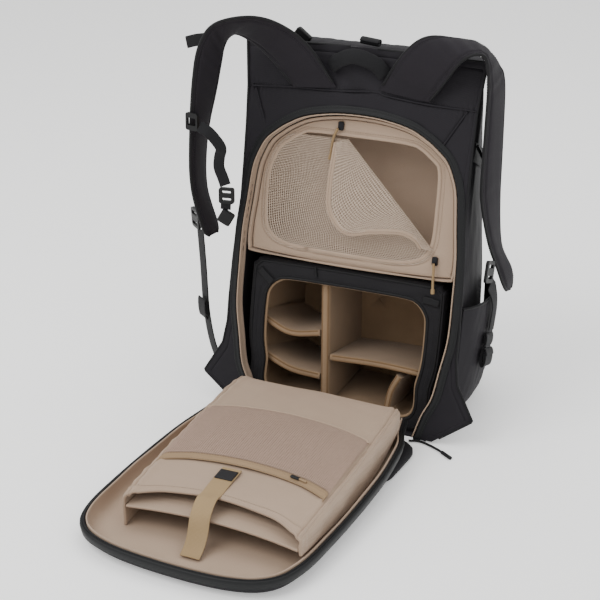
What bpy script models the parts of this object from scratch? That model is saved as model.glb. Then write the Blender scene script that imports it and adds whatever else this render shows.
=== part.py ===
"""Camera backpack, opened: the back panel lies folded down in front of the upright bag.

Metres, +Z up. The origin is the middle of the base, on the floor.
The rear face, with the big arched opening, looks along -Y, and the opened door lies towards -Y.
"""

import math

import bmesh
import bpy
import numpy as np
from mathutils import Matrix

# Driving sizes of the bag
PANEL_LENGTH = 0.515
PANEL_HALF = 0.170
REAR_FOOT_Y = -0.130
LEAN = math.radians(11.27)
BODY_HEIGHT = 0.486
BODY_FRONT_HALF = 0.130
BODY_FRONT_Y = 0.126
SHELL_WALL = 0.004
FRAME_WALL = 0.006
GAP = 0.0003

# Driving sizes of the rear opening and of the door that closes it
OPENING_LENGTH = 0.430
OPENING_HALF = 0.158
ZIP_WIDTH = 0.010
ZIP_THICK = 0.002
BINDING_DEPTH = 0.012
BINDING_THICK = 0.0016

# Driving sizes of the upper compartment
LINING_WALL = 0.0016
COMPARTMENT_INSET = 0.008
COMPARTMENT_FLOOR = 0.2235
COMPARTMENT_DEPTH = 0.088
WINDOW_LEFT = -0.131
WINDOW_RIGHT = 0.118
WINDOW_BOTTOM = 0.236
WINDOW_TOP = OPENING_LENGTH - 0.030
NET_THICK = 0.0012

# Driving sizes of the padded camera pod and its dividers
POD_HALF = 0.144
POD_TOP = 0.2155
POD_LIP = 0.012
POD_DEPTH = 0.140
POD_WALL = 0.006
POD_MOUTH_HALF = 0.121
POD_MOUTH_TOP = 0.192
POD_LINING_WALL = 0.002
DIVIDER_WALL = 0.013
SHELF_WALL = 0.009

# Driving sizes of the door
DOOR_START_Y = -0.1405
DOOR_LENGTH = 0.428
DOOR_HALF = 0.150
DOOR_YAW = math.radians(3.4)
DOOR_WALL = 0.003
DOOR_LINING_WALL = 0.002
DOOR_FOOT_NEAR = 0.0165
DOOR_FOOT_FAR = 0.0005
DOOR_RIM = 0.021
PAD_HALF = 0.141
PAD_LENGTH = 0.112

# Driving sizes of the device sleeves on the door
SLEEVE_HALF = 0.1222
SLEEVE_START = 0.028
SLEEVE_LENGTH = 0.326
SLEEVE_TOP_NEAR = 0.073
SLEEVE_TOP_FAR = 0.056
SLEEVE_WALL = 0.003
TABLET_WALL = 0.004

# Driving sizes of straps and webbing
STRAP_THICK = 0.010
WEBBING = 0.025
WEBBING_THICK = 0.0016
NARROW_WEBBING = 0.020
PANEL_TOP = PANEL_LENGTH * math.cos(LEAN)

# Rear panel and opening, left half from the foot up to the middle of the top:
# opening half-width and height, panel half-width and height, all shares of the sizes above
OUTLINE = np.array([
    (0.766, 0.005, 0.870, 0.005),
    (0.829, 0.083, 1.182, 0.080),
    (0.905, 0.147, 1.030, 0.168),
    (0.950, 0.237, 1.000, 0.233),
    (0.997, 0.344, 1.000, 0.300),
    (1.000, 0.474, 0.990, 0.410),
    (0.994, 0.593, 0.975, 0.500),
    (0.968, 0.688, 0.955, 0.580),
    (0.937, 0.795, 0.953, 0.670),
    (0.886, 0.853, 0.955, 0.780),
    (0.823, 0.894, 0.965, 0.880),
    (0.728, 0.925, 1.000, 1.000),
    (0.633, 0.949, 0.800, 1.002),
    (0.475, 0.977, 0.550, 1.004),
    (0.240, 0.995, 0.270, 1.006),
    (0.000, 1.000, 0.000, 1.007),
])

# Body sections from the floor up: height share, rear half-width share of the panel's,
# front half-width share, front depth share, side bulge share of the panel's half-width
BODY = np.array([
    (0.000, 0.830, 0.800, 0.860, 0.00),
    (0.020, 0.890, 0.920, 0.980, 0.01),
    (0.090, 0.945, 0.990, 1.060, 0.02),
    (0.190, 0.965, 1.010, 1.060, 0.03),
    (0.340, 0.968, 1.010, 0.990, 0.04),
    (0.490, 0.963, 1.000, 0.890, 0.05),
    (0.620, 0.945, 0.990, 0.810, 0.05),
    (0.780, 0.938, 0.980, 0.770, 0.04),
    (0.930, 0.945, 0.970, 0.740, 0.03),
    (0.985, 0.940, 0.950, 0.700, 0.02),
    (1.000, 0.900, 0.900, 0.640, 0.00),
])

for old in list(bpy.data.objects):
    bpy.data.objects.remove(old, do_unlink=True)

PARTS = bpy.data.collections.new("camera_backpack")
bpy.context.scene.collection.children.link(PARTS)


def material(name, hex_colour, roughness, metallic=0.0):
    """A plain surface from an sRGB hex colour."""
    made = bpy.data.materials.new(name)
    made.use_nodes = True
    channels = [int(hex_colour[i:i + 2], 16) / 255 for i in (0, 2, 4)]
    linear = [c / 12.92 if c <= 0.04045 else ((c + 0.055) / 1.055) ** 2.4 for c in channels]
    shader = made.node_tree.nodes["Principled BSDF"]
    shader.inputs["Base Color"].default_value = (*linear, 1.0)
    shader.inputs["Roughness"].default_value = roughness
    shader.inputs["Metallic"].default_value = metallic
    made.diffuse_color = (*linear, 1.0)
    return made


SHELL_CLOTH = material("shell_nylon", "37333A", 0.8)
STRAP_CLOTH = material("strap_nylon", "3B3439", 0.85)
DARK_WEB = material("black_webbing", "2A2729", 0.75)
ZIP_COAT = material("coated_zip_tape", "3A4042", 0.45)
BEIGE_CLOTH = material("beige_lining", "B5A18D", 0.85)
BEIGE_NET = material("beige_netting", "B49A88", 0.85)
TAN_WEB = material("tan_webbing", "B09A78", 0.8)
TAN_FOAM = material("tan_brushed_liner", "937658", 0.9)
POD_CLOTH = material("pod_nylon", "2C2A2E", 0.8)
BLACK_PLASTIC = material("black_acetal", "1E1D1F", 0.45)
DARK_METAL = material("blackened_wire", "4A4A4C", 0.35, 1.0)


def on_face(x, s, n):
    """A point of the leaning rear face: x across, s up along the face, n out of it to the rear."""
    x, s, n = np.broadcast_arrays(np.asarray(x, float), np.asarray(s, float), np.asarray(n, float))
    y = REAR_FOOT_Y + s * math.sin(LEAN) - n * math.cos(LEAN)
    z = s * math.cos(LEAN) + n * math.sin(LEAN)
    return np.stack([x, y, z], axis=-1)


def on_door(x, u, h):
    """A point of the door: x across, u along the floor from the hinge, h above the floor."""
    x, u, h = np.broadcast_arrays(np.asarray(x, float), np.asarray(u, float), np.asarray(h, float))
    c = math.cos(DOOR_YAW)
    k = math.sin(DOOR_YAW)
    return np.stack([x * c - u * k, DOOR_START_Y - x * k - u * c, h], axis=-1)


def smooth_line(points, count):
    """A smooth curve through the points, read at an even share of its stations."""
    p = np.asarray(points, float)
    ends = np.concatenate([[2 * p[0] - p[1]], p, [2 * p[-1] - p[-2]]])
    t = np.linspace(0, len(p) - 1, count)
    i = np.minimum(t.astype(int), len(p) - 2)
    f = (t - i)[:, None]
    a, b, c, d = ends[i], ends[i + 1], ends[i + 2], ends[i + 3]
    return 0.5 * (2 * b + (c - a) * f + (2 * a - 5 * b + 4 * c - d) * f ** 2
                  + (3 * b - a - 3 * c + d) * f ** 3)


def grid_faces(rows, columns, closed=False):
    """Quads between neighbouring rows, closed round from the last column to the first if asked."""
    last = columns if closed else columns - 1
    return [
        (r * columns + c, r * columns + (c + 1) % columns,
         (r + 1) * columns + (c + 1) % columns, (r + 1) * columns + c)
        for r in range(rows - 1) for c in range(last)
    ]


def add_object(name, points, faces, finish):
    """A mesh object in the parts collection, with doubles merged and normals made consistent."""
    data = bpy.data.meshes.new(name)
    data.from_pydata([tuple(p) for p in points], [], faces)
    work = bmesh.new()
    work.from_mesh(data)
    bmesh.ops.remove_doubles(work, verts=work.verts, dist=1e-6)
    loose = [v for v in work.verts if not v.link_faces]
    bmesh.ops.delete(work, geom=loose, context="VERTS")
    bmesh.ops.recalc_face_normals(work, faces=work.faces)
    work.to_mesh(data)
    work.free()
    data.materials.append(finish)
    data.shade_smooth()
    data.set_sharp_from_angle(angle=math.radians(40))
    made = bpy.data.objects.new(name, data)
    PARTS.objects.link(made)
    return made


def sheet(name, rows, wall, finish, closed=False, fan_first=None, fan_last=None, cap_last=False, skip=()):
    """Cloth: a surface given as rows of points on the middle of its wall, with its thickness laid evenly."""
    rows = np.asarray(rows, float)
    count, columns = rows.shape[:2]
    points = list(rows.reshape(-1, 3))
    faces = [f for i, f in enumerate(grid_faces(count, columns, closed)) if i not in skip]
    last = columns if closed else columns - 1
    for centre, base in ((fan_first, 0), (fan_last, (count - 1) * columns)):
        if centre is not None:
            points.append(np.asarray(centre, float))
            tip = len(points) - 1
            faces += [(base + c, base + (c + 1) % columns, tip) for c in range(last)]
    if cap_last:
        faces.append(tuple((count - 1) * columns + c for c in range(columns)))
    made = add_object(name, points, faces, finish)
    thick = made.modifiers.new("cloth thickness", "SOLIDIFY")
    thick.thickness = wall
    thick.offset = 0.0
    thick.use_even_offset = True
    return made


def loft(name, rings, finish):
    """A closed solid through rings of equal point count, flat at both ends."""
    rings = np.asarray(rings, float)
    count, columns = rings.shape[:2]
    faces = grid_faces(count, columns, closed=True)
    faces.append(tuple(range(columns)))
    faces.append(tuple((count - 1) * columns + c for c in range(columns)))
    return add_object(name, rings.reshape(-1, 3), faces, finish)


def unit(v):
    """Vectors scaled to length one along their last axis."""
    return v / np.linalg.norm(v, axis=-1, keepdims=True)


def padded_strap(name, edge_a, edge_b, thick, finish, sides=10, end_share=0.35):
    """A padded strap between two edge lines: oval rings across it, thinner at its two ends."""
    middle = (edge_a + edge_b) / 2
    across = edge_b - edge_a
    along = np.gradient(middle, axis=0)
    normal = unit(np.cross(across, along))
    angle = 2 * math.pi * (np.arange(sides) + 0.5) / sides
    flat = np.sign(np.cos(angle)) * np.abs(np.cos(angle)) ** 0.6
    rise = np.sign(np.sin(angle)) * np.abs(np.sin(angle)) ** 0.8
    share = np.linspace(0, 1, len(middle))
    taper = np.clip(np.minimum(share, 1 - share) / 0.08, end_share, 1.0)
    rings = (middle[:, None] + across[:, None] / 2 * flat[None, :, None]
             + normal[:, None] * (thick / 2 * taper)[:, None, None] * rise[None, :, None])
    return loft(name, rings, finish)


def ribbon(name, middle, facing, width, finish, wall=WEBBING_THICK):
    """Webbing: a flat band along a line, with its broad side turned to the facing vectors."""
    middle = np.asarray(middle, float)
    across = unit(np.cross(np.gradient(middle, axis=0), np.asarray(facing, float)))
    rows = np.stack([middle - across * width / 2, middle + across * width / 2], axis=1)
    return sheet(name, rows, wall, finish)


def block(name, centre, right, up, size, finish, corner=0.003):
    """A small moulding: a rounded rectangle of width and height, deep from back to front, edges eased."""
    width, height, depth = size
    loop = np.array(rectangle(width, height, corner))
    x = unit(np.asarray(right, float))
    z = unit(np.cross(x, np.asarray(up, float)))
    y = np.cross(z, x)
    rings = []
    for level, share in ((-1, 0.86), (-0.6, 1.0), (0.6, 1.0), (1, 0.86)):
        flat = loop * share
        rings.append(centre + flat[:, :1] * x + flat[:, 1:] * y + z * level * depth / 2)
    return loft(name, rings, finish)


def cord(name, points, radius, finish, count=14):
    """A round cord along a line of points, closed at both ends."""
    curve = bpy.data.curves.new(name, "CURVE")
    curve.dimensions = "3D"
    curve.bevel_depth = radius
    curve.bevel_resolution = 1
    curve.use_fill_caps = True
    line = smooth_line(points, count)
    spline = curve.splines.new("POLY")
    spline.points.add(len(line) - 1)
    for target, point in zip(spline.points, line):
        target.co = (*point, 1.0)
    curve.materials.append(finish)
    made = bpy.data.objects.new(name, curve)
    PARTS.objects.link(made)
    return made


def plate(name, outline, holes, wall, origin, right, up, finish):
    """A flat moulding: an outline with holes in a plane, extruded to its wall on both sides."""
    curve = bpy.data.curves.new(name, "CURVE")
    curve.dimensions = "2D"
    curve.fill_mode = "BOTH"
    curve.extrude = wall / 2
    for loop in (outline, *holes):
        spline = curve.splines.new("POLY")
        spline.points.add(len(loop) - 1)
        spline.use_cyclic_u = True
        for target, (a, b) in zip(spline.points, loop):
            target.co = (a, b, 0.0, 1.0)
    curve.materials.append(finish)
    made = bpy.data.objects.new(name, curve)
    x = unit(np.asarray(right, float))
    z = unit(np.cross(x, np.asarray(up, float)))
    y = np.cross(z, x)
    frame = np.eye(4)
    frame[:3, 0], frame[:3, 1], frame[:3, 2], frame[:3, 3] = x, y, z, origin
    made.matrix_world = Matrix(frame.tolist())
    PARTS.objects.link(made)
    return made


def rectangle(width, height, corner, middle=(0.0, 0.0), steps=2):
    """A rectangle with round corners, as a loop of points."""
    loop = []
    for k, (sx, sy) in enumerate(((1, 1), (-1, 1), (-1, -1), (1, -1))):
        for i in range(steps + 1):
            turn = math.pi / 2 * (k + i / steps)
            loop.append((middle[0] + sx * (width / 2 - corner) + corner * math.cos(turn),
                         middle[1] + sy * (height / 2 - corner) + corner * math.sin(turn)))
    return loop


def rear_y(z):
    """Where the rear face is at a height."""
    return REAR_FOOT_Y + z * math.tan(LEAN)


def by_share(rows, reach):
    """Points from rows of x share, distance out of the rear face as a share of reach, and height share."""
    rows = np.asarray(rows, float)
    z = rows[:, 2] * PANEL_TOP
    return np.stack([rows[:, 0] * PANEL_HALF, rear_y(z) - rows[:, 1] * reach, z], axis=1)


# Panel sizes at which the places of the harness's small pieces were taken
DRAWN_HALF = 0.170
DRAWN_LENGTH = 0.515


def by_panel(points):
    """Places taken on a panel of the drawn size, carried over to the panel's own size."""
    p = np.asarray(points, float)
    z = p[..., 2] * PANEL_LENGTH / DRAWN_LENGTH
    y = p[..., 1] + (z - p[..., 2]) * math.tan(LEAN)
    return np.stack([p[..., 0] * PANEL_HALF / DRAWN_HALF, y, z], axis=-1)


# Opening and rear panel outlines, left foot to right foot, at the same stations
STATIONS = 51
half = OUTLINE * np.array([-OPENING_HALF, OPENING_LENGTH, -PANEL_HALF, PANEL_LENGTH])
whole = np.concatenate([half, half[-2::-1] * np.array([-1.0, 1.0, -1.0, 1.0])])
OPENING = smooth_line(whole[:, :2], STATIONS)
station = np.linspace(0, len(whole) - 1, STATIONS)
PANEL = np.stack([np.interp(station, np.arange(len(whole)), whole[:, k]) for k in (2, 3)], axis=1)


def inward(line, distance):
    """A flat outline moved sideways towards its own inside by a distance."""
    along = unit(np.gradient(line, axis=0))
    return line + np.stack([along[:, 1], -along[:, 0]], axis=1) * distance


# Rear panel with the arched opening, its top yoke and the two low wings
frame_rows = [on_face(*(OPENING * (1 - k) + PANEL * k).T, -FRAME_WALL / 2) for k in np.linspace(0, 1, 4)]
sheet("back_frame", frame_rows, FRAME_WALL, SHELL_CLOTH)

# Coated zip tape that runs round the opening, on the rear panel's inner margin
zip_lift = GAP + ZIP_THICK / 2
zip_rows = [on_face(*inward(OPENING, -d).T, zip_lift) for d in (0.0004, ZIP_WIDTH / 2, ZIP_WIDTH)]
sheet("opening_zip", zip_rows, ZIP_THICK, ZIP_COAT)

# Beige binding on the opening's edge, going in from the zip
binding_in = 2 * GAP + BINDING_THICK / 2
binding_rows = [
    on_face(*inward(OPENING, binding_in + d).T, n)
    for d, n in ((0.0, 0.003), (0.0, -BINDING_DEPTH / 2), (0.0012, -BINDING_DEPTH))
]
for ring in binding_rows[1:]:
    ring[:, 2] = np.maximum(ring[:, 2], SHELL_WALL + 0.0012)
sheet("opening_binding", binding_rows, BINDING_THICK, BEIGE_CLOTH)

# Body: floor, sides, front and roof as one padded wall, open to the rear
FRAME_SEAT = FRAME_WALL + 0.0008
CORNER_START = 0.76


def body_value(column, z):
    """A column of the body table read at a height."""
    return np.interp(z / BODY_HEIGHT, BODY[:, 0], BODY[:, column])


def side_half(k, z):
    """Half-width of the body's outer side at share k of the way from the rear edge to the front."""
    rear = body_value(1, z) * PANEL_HALF
    front = body_value(2, z) * BODY_FRONT_HALF
    bulge = body_value(4, z) * PANEL_HALF
    return rear + (front - rear) * k + bulge * 4 * k * (1 - k)


def side_point(k, z, out):
    """A point out from the body's right side by a distance."""
    back = rear_y(z) + FRAME_SEAT / math.cos(LEAN)
    front = body_value(3, z) * BODY_FRONT_Y
    return np.array([side_half(k, z) + out, back + (front - back) * k, z])


def body_ring(z):
    """The middle of the wall round the body at a height, right rear edge to left rear edge."""
    middle = -SHELL_WALL / 2
    side = [side_point(k, z, middle) for k in np.linspace(0, CORNER_START, 5)]
    start = side[-1]
    flat = body_value(2, z) * BODY_FRONT_HALF * 0.72
    front = body_value(3, z) * BODY_FRONT_Y + middle
    corner = [
        np.array([flat + (start[0] - flat) * math.cos(a), start[1] + (front - start[1]) * math.sin(a), z])
        for a in np.radians((30, 60, 90))
    ]
    right = np.array(side + corner + [np.array([flat * 0.45, front + 0.004, z])])
    return np.concatenate([right, right[::-1] * np.array([-1.0, 1.0, 1.0])])


body_heights = np.clip(BODY[:, 0] * BODY_HEIGHT, SHELL_WALL / 2, BODY_HEIGHT - SHELL_WALL / 2)
body_rows = [body_ring(z) for z in body_heights]
floor_middle = (body_rows[0][0] + body_rows[0][-1]) / 2
roof_middle = (body_rows[-1][0] + body_rows[-1][-1]) / 2
sheet("body_shell", body_rows, SHELL_WALL, SHELL_CLOTH, fan_first=floor_middle, fan_last=roof_middle)

# Rolled top: a flat roll across the roof whose two ends turn down the sides
ROLL_WIDTH = 0.040
ROLL_HEIGHT = 0.016
roll_z = BODY_HEIGHT + ROLL_HEIGHT / 2 + 0.0022
roll_y = 0.012
roll_half = 0.86
roll_route = [(0.0, 0.0), (0.45, -0.001), (0.80, -0.001), (roll_half, -0.003)]
roll_right = [np.array([x * PANEL_HALF, roll_y, roll_z + dz]) for x, dz in roll_route]
roll_line = np.array([p * np.array([-1.0, 1.0, 1.0]) for p in roll_right[::-1]] + roll_right[1:])
roll_line = smooth_line(roll_line, 15)
turn = 2 * math.pi * (np.arange(12) + 0.5) / 12
section = np.stack([
    ROLL_WIDTH / 2 * np.sign(np.cos(turn)) * np.abs(np.cos(turn)) ** 0.8,
    ROLL_HEIGHT / 2 * np.sign(np.sin(turn)) * np.abs(np.sin(turn)) ** 0.8,
], axis=1)
loft("roll_top", [p + np.stack([np.zeros(12), section[:, 0], section[:, 1]], axis=1) for p in roll_line],
     SHELL_CLOTH)

# Upper compartment: a beige cup behind the top of the opening
def closed_inward(loop, distance):
    """A closed outline that runs clockwise, moved inwards by a distance."""
    along = unit(np.roll(loop, -1, axis=0) - np.roll(loop, 1, axis=0))
    return loop + np.stack([along[:, 1], -along[:, 0]], axis=1) * distance


def compartment_loop(inset):
    """The compartment's closed outline: a slack floor, round lower corners and the opening's arch."""
    arch = half[half[:, 1] > COMPARTMENT_FLOOR + 0.03][:, :2]
    wide = OPENING_HALF
    foot = np.array([(-0.45, -0.003), (-0.90, 0.001), (-0.985, 0.012)])
    foot = np.stack([foot[:, 0] * wide, COMPARTMENT_FLOOR - COMPARTMENT_INSET + foot[:, 1]], axis=1)
    left = np.concatenate([foot, arch])
    right = left[-2::-1] * np.array([-1.0, 1.0])
    loop = np.concatenate([left, right, [(0.0, COMPARTMENT_FLOOR - COMPARTMENT_INSET - 0.004)]])
    return closed_inward(loop, inset)


flange_inset = binding_in + BINDING_THICK / 2 + LINING_WALL / 2 + 0.0018
flange = compartment_loop(flange_inset)
flange[:, 1] = np.maximum(flange[:, 1], COMPARTMENT_FLOOR - 0.001)
mouth = compartment_loop(COMPARTMENT_INSET)
deep = closed_inward(mouth, 0.012)
cup_rows = [
    on_face(*flange.T, -BINDING_DEPTH + 0.002),
    on_face(*mouth.T, -BINDING_DEPTH - 0.002),
    on_face(*mouth.T, -COMPARTMENT_DEPTH * 0.5),
    on_face(*deep.T, -COMPARTMENT_DEPTH),
]
sheet("compartment_liner", cup_rows, LINING_WALL, BEIGE_CLOTH, closed=True, cap_last=True)

# Beige panel across the compartment, with the zipped window cut out of it
WINDOW_MIDDLE = np.array([(WINDOW_LEFT + WINDOW_RIGHT) / 2, (WINDOW_BOTTOM + WINDOW_TOP) / 2])
WINDOW_A = (WINDOW_RIGHT - WINDOW_LEFT) / 2
WINDOW_B = (WINDOW_TOP - WINDOW_BOTTOM) / 2
SQUARENESS = 5.0
WINDOW_HEM = 0.009
front_loop = closed_inward(mouth, LINING_WALL + 2 * GAP)
toward = front_loop - WINDOW_MIDDLE
angle = np.arctan2(toward[:, 1], toward[:, 0])
reach = ((np.abs(np.cos(angle)) / WINDOW_A) ** SQUARENESS
         + (np.abs(np.sin(angle)) / WINDOW_B) ** SQUARENESS) ** (-1 / SQUARENESS)
reach = np.minimum(reach, np.linalg.norm(toward, axis=1) - WINDOW_HEM)
window_loop = WINDOW_MIDDLE + reach[:, None] * np.stack([np.cos(angle), np.sin(angle)], axis=1)
FRONT_N = -BINDING_DEPTH - 0.0045
front_rows = [on_face(*front_loop.T, FRONT_N), on_face(*window_loop.T, FRONT_N)]
sheet("compartment_front", front_rows, LINING_WALL, BEIGE_CLOTH, closed=True)

# Netting door of the compartment, unzipped at its upper right corner and folded back on itself.
# Free edge of the flap, from the lower slider to the upper one: x and height along the face,
# as shares of the window's half-width and half-height from its middle, and its stand-off
FLAP_EDGE = np.array([
    (0.86, -0.64, 0.003),
    (0.78, -0.50, 0.008),
    (0.62, -0.43, 0.012),
    (0.32, -0.48, 0.014),
    (0.10, -0.55, 0.015),
    (-0.04, -0.48, 0.016),
    (-0.17, -0.22, 0.015),
    (-0.20, 0.18, 0.011),
    (-0.19, 0.62, 0.007),
    (-0.19, 0.82, 0.003),
])
FOLD_FOOT = np.array([0.955, -0.66])
FOLD_HEAD = np.array([-0.085, 0.88])
NET_N = FRONT_N + LINING_WALL / 2 + GAP + NET_THICK / 2
NET_MARGIN = 0.004
NET_COLUMNS = 17
FLAP_COLUMNS = 6
LOW_ROWS = 3
FLAP_ROWS = 12
FLAT = (WINDOW_A + NET_MARGIN, WINDOW_B + NET_MARGIN)


def window_half(v):
    """Half-width of the rounded window at a height share from its middle."""
    return (1 - np.clip(np.abs(v), 0, 0.9999) ** SQUARENESS) ** (1 / SQUARENESS)


arch_top = len(front_loop) // 2
net_rows = []
for row in range(LOW_ROWS + FLAP_ROWS):
    if row < LOW_ROWS:
        v = -0.985 + (FOLD_FOOT[1] + 0.985) * row / LOW_ROWS
        fold = np.array([window_half(v), v])
        free = np.array([*fold, 0.0])
    else:
        f = (row - LOW_ROWS) / (FLAP_ROWS - 1)
        fold = FOLD_FOOT + (FOLD_HEAD - FOLD_FOOT) * f
        free = smooth_line(FLAP_EDGE, FLAP_ROWS)[row - LOW_ROWS]
    fold_s = WINDOW_MIDDLE[1] + fold[1] * FLAT[1]
    arch = np.interp(fold_s, front_loop[3:arch_top, 1], front_loop[3:arch_top, 0])
    left = max(-window_half(fold[1]), (arch + NET_MARGIN - WINDOW_MIDDLE[0]) / FLAT[0])
    flat = [(left + (fold[0] - left) * c / (NET_COLUMNS - 1), fold[1], 0.0) for c in range(NET_COLUMNS)]
    turned = [(fold[0] + 0.012, fold[1] + 0.012, 0.0022)]
    for c in range(FLAP_COLUMNS):
        k = c / (FLAP_COLUMNS - 1)
        lift = 0.0044 + free[2] * k + 0.004 * math.sin(math.pi * k)
        turned.append((*(fold + (free[:2] - fold) * k), lift))
    line = np.array(flat + turned)
    net_rows.append(on_face(WINDOW_MIDDLE[0] + line[:, 0] * FLAT[0],
                            WINDOW_MIDDLE[1] + line[:, 1] * FLAT[1], NET_N + line[:, 2]))
net_columns = NET_COLUMNS + 1 + FLAP_COLUMNS
skipped = set()
rims = (NET_COLUMNS - 2, NET_COLUMNS - 1, NET_COLUMNS, net_columns - 2)
for i in range((len(net_rows) - 1) * (net_columns - 1)):
    row, column = divmod(i, net_columns - 1)
    beyond = column >= NET_COLUMNS - 1
    hole = row % 2 == 1 and column % 2 == 1 and column not in rims
    if hole and row < len(net_rows) - 2 or (beyond and row < LOW_ROWS):
        skipped.add(i)
sheet("mesh_panel", net_rows, NET_THICK, BEIGE_NET, skip=skipped)


# Camera pod: a padded box behind the lower half of the opening, with a bound arched mouth
def pod_loop(half_width, n, level, top, corner):
    """A closed outline at depth n: foot at a height above the floor, upright sides, round upper corners."""
    foot = (level - n * math.sin(LEAN)) / math.cos(LEAN)
    left = [(-half_width * 0.86, foot), (-half_width * 0.955, foot + 0.3 * (top - foot)),
            (-half_width, foot + 0.5 * (top - foot)), (-half_width, top - corner)]
    for turn_share in (1 / 3, 2 / 3, 1.0):
        a = math.pi / 2 * turn_share
        left.append((-half_width + corner * (1 - math.cos(a)), top - corner * (1 - math.sin(a))))
    left.append((-half_width * 0.3, top + 0.001))
    left = np.array(left)
    right = left[::-1] * np.array([-1.0, 1.0])
    return np.concatenate([left, right, [(0.0, foot)]])


POD_TAPER = 0.018
POD_CORNER = 0.016
pod_n = -BINDING_DEPTH - 2 * GAP - POD_WALL / 2
pod_back_n = pod_n - POD_DEPTH
pod_level = SHELL_WALL + 3 * GAP + POD_WALL / 2
pod_half = POD_HALF - POD_WALL / 2
pod_rows = [
    on_face(*pod_loop(POD_MOUTH_HALF, pod_n, pod_level + POD_LIP, POD_MOUTH_TOP, 0.034).T, pod_n),
    on_face(*pod_loop(pod_half, pod_n, pod_level, POD_TOP - POD_WALL / 2, POD_CORNER).T, pod_n),
    on_face(*pod_loop(pod_half - POD_TAPER, pod_back_n, pod_level, POD_TOP - POD_WALL / 2, POD_CORNER).T,
            pod_back_n),
]
sheet("camera_pod", pod_rows, POD_WALL, POD_CLOTH, closed=True, cap_last=True)

# Tan lining of the pod, a cup seated inside its walls
LINING_IN = POD_WALL / 2 + 2 * GAP + POD_LINING_WALL / 2
LINING_HALF = pod_half - LINING_IN - 0.0012
LINING_TOP = POD_TOP - POD_WALL / 2 - LINING_IN
LINING_LEVEL = pod_level + LINING_IN
lining_front_n = pod_n - LINING_IN
lining_back_n = pod_back_n + LINING_IN
LINING_CORNER = POD_CORNER - LINING_IN
lining_front = pod_loop(LINING_HALF, lining_front_n, LINING_LEVEL, LINING_TOP, LINING_CORNER)
lining_back = pod_loop(LINING_HALF - POD_TAPER, lining_back_n, LINING_LEVEL, LINING_TOP, LINING_CORNER)
lining_rows = [on_face(*lining_front.T, lining_front_n), on_face(*lining_back.T, lining_back_n)]
sheet("pod_lining", lining_rows, POD_LINING_WALL, TAN_FOAM, closed=True, cap_last=True)

# Tan dividers in the pod, each a padded board that stands clear of its neighbours.
# The main one leans from the lining's roof to its floor
SEAT = 0.0007
DIVIDER_FRONT_N = lining_front_n - 0.004
DIVIDER_BACK_N = lining_back_n + POD_LINING_WALL / 2 + SEAT
MAIN_TOP_X = -0.037
MAIN_FOOT_X = -0.021
ROOF_S = LINING_TOP - POD_LINING_WALL / 2 - SEAT
FLOOR_Z = LINING_LEVEL + POD_LINING_WALL / 2 + SEAT


def lining_x(s, n):
    """Half-width inside the lining at a height and depth."""
    depth = (lining_front_n - n) / (lining_front_n - lining_back_n)
    front = np.interp(s, lining_front[:4, 1], -lining_front[:4, 0])
    back = np.interp(s, lining_back[:4, 1], -lining_back[:4, 0])
    return front + (back - front) * depth - POD_LINING_WALL / 2


def board(name, stations, wall, wall_side=0):
    """A divider through (x, s) stations, deep from front to back; its first end can follow the side wall."""
    line = np.asarray(stations, float)
    along = unit(np.gradient(line, axis=0))
    across = np.stack([-along[:, 1], along[:, 0]], axis=1)
    rings = []
    for i, (p, w) in enumerate(zip(line, across)):
        ring = []
        for a, n in ((1, DIVIDER_FRONT_N - wall * 0.3), (0.55, DIVIDER_FRONT_N), (-0.55, DIVIDER_FRONT_N),
                     (-1, DIVIDER_FRONT_N - wall * 0.3), (-1, DIVIDER_BACK_N), (1, DIVIDER_BACK_N)):
            x, s = p + w * a * wall / 2
            if wall_side:
                limit = lining_x(s, n) - SEAT
                x = wall_side * (limit if i == 0 else min(wall_side * x, limit))
            ring.append(on_face(x, s, n))
        rings.append(ring)
    rings = np.array(rings)
    rings[:, :, 2] = np.maximum(rings[:, :, 2], FLOOR_Z)
    return loft(name, rings, TAN_FOAM)


def main_x(s):
    """Where the main divider's middle is at a height along the face."""
    return MAIN_TOP_X + (MAIN_FOOT_X - MAIN_TOP_X) * (1 - s / ROOF_S)


main_foot = (FLOOR_Z - DIVIDER_BACK_N * math.sin(LEAN)) / math.cos(LEAN)
board("pod_divider_main", [(main_x(s), s) for s in (main_foot - 0.02, 0.09, 0.14, ROOF_S)], DIVIDER_WALL)


def shelf(name, wall_side, heights):
    """A shelf from the lining's side wall to the main divider, sagging through its heights."""
    side_s, middle_s, main_s = heights
    edge = wall_side * (lining_x(side_s, DIVIDER_FRONT_N) - SEAT)
    inner = main_x(main_s) + wall_side * (DIVIDER_WALL / 2 + SEAT + 0.0006)
    stations = [(edge, side_s), (edge * 0.5 + inner * 0.5, middle_s), (inner, main_s)]
    return board(name, smooth_line(stations, 5), SHELF_WALL, wall_side)


shelf("pod_shelf_left_upper", -1, (0.131, 0.112, 0.118))
shelf("pod_shelf_left_lower", -1, (0.078, 0.060, 0.056))
shelf("pod_shelf_right", 1, (0.086, 0.089, 0.086))
board("pod_divider_right", [(0.084, 0.0775), (0.074, 0.055), (0.070, 0.030)], SHELF_WALL)


# Door: left half of its rim from the hinge to the middle of the far end, as shares of its
# half-width and length. Laid flat, it is a little fuller at its far corners than the opening
DOOR_LINE = np.array([
    (0.766, 0.005), (0.829, 0.083), (0.905, 0.147), (0.950, 0.237), (0.985, 0.344), (1.000, 0.474),
    (1.003, 0.593), (0.998, 0.688), (0.985, 0.795), (0.950, 0.867), (0.890, 0.917), (0.790, 0.952),
    (0.660, 0.974), (0.475, 0.990), (0.240, 0.998), (0.000, 1.000),
])
door_half_line = DOOR_LINE * np.array([-DOOR_HALF, DOOR_LENGTH])
DOOR_RIM_LINE = smooth_line(np.concatenate([door_half_line, door_half_line[-2::-1] * np.array([-1.0, 1.0])]),
                            STATIONS)


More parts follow.
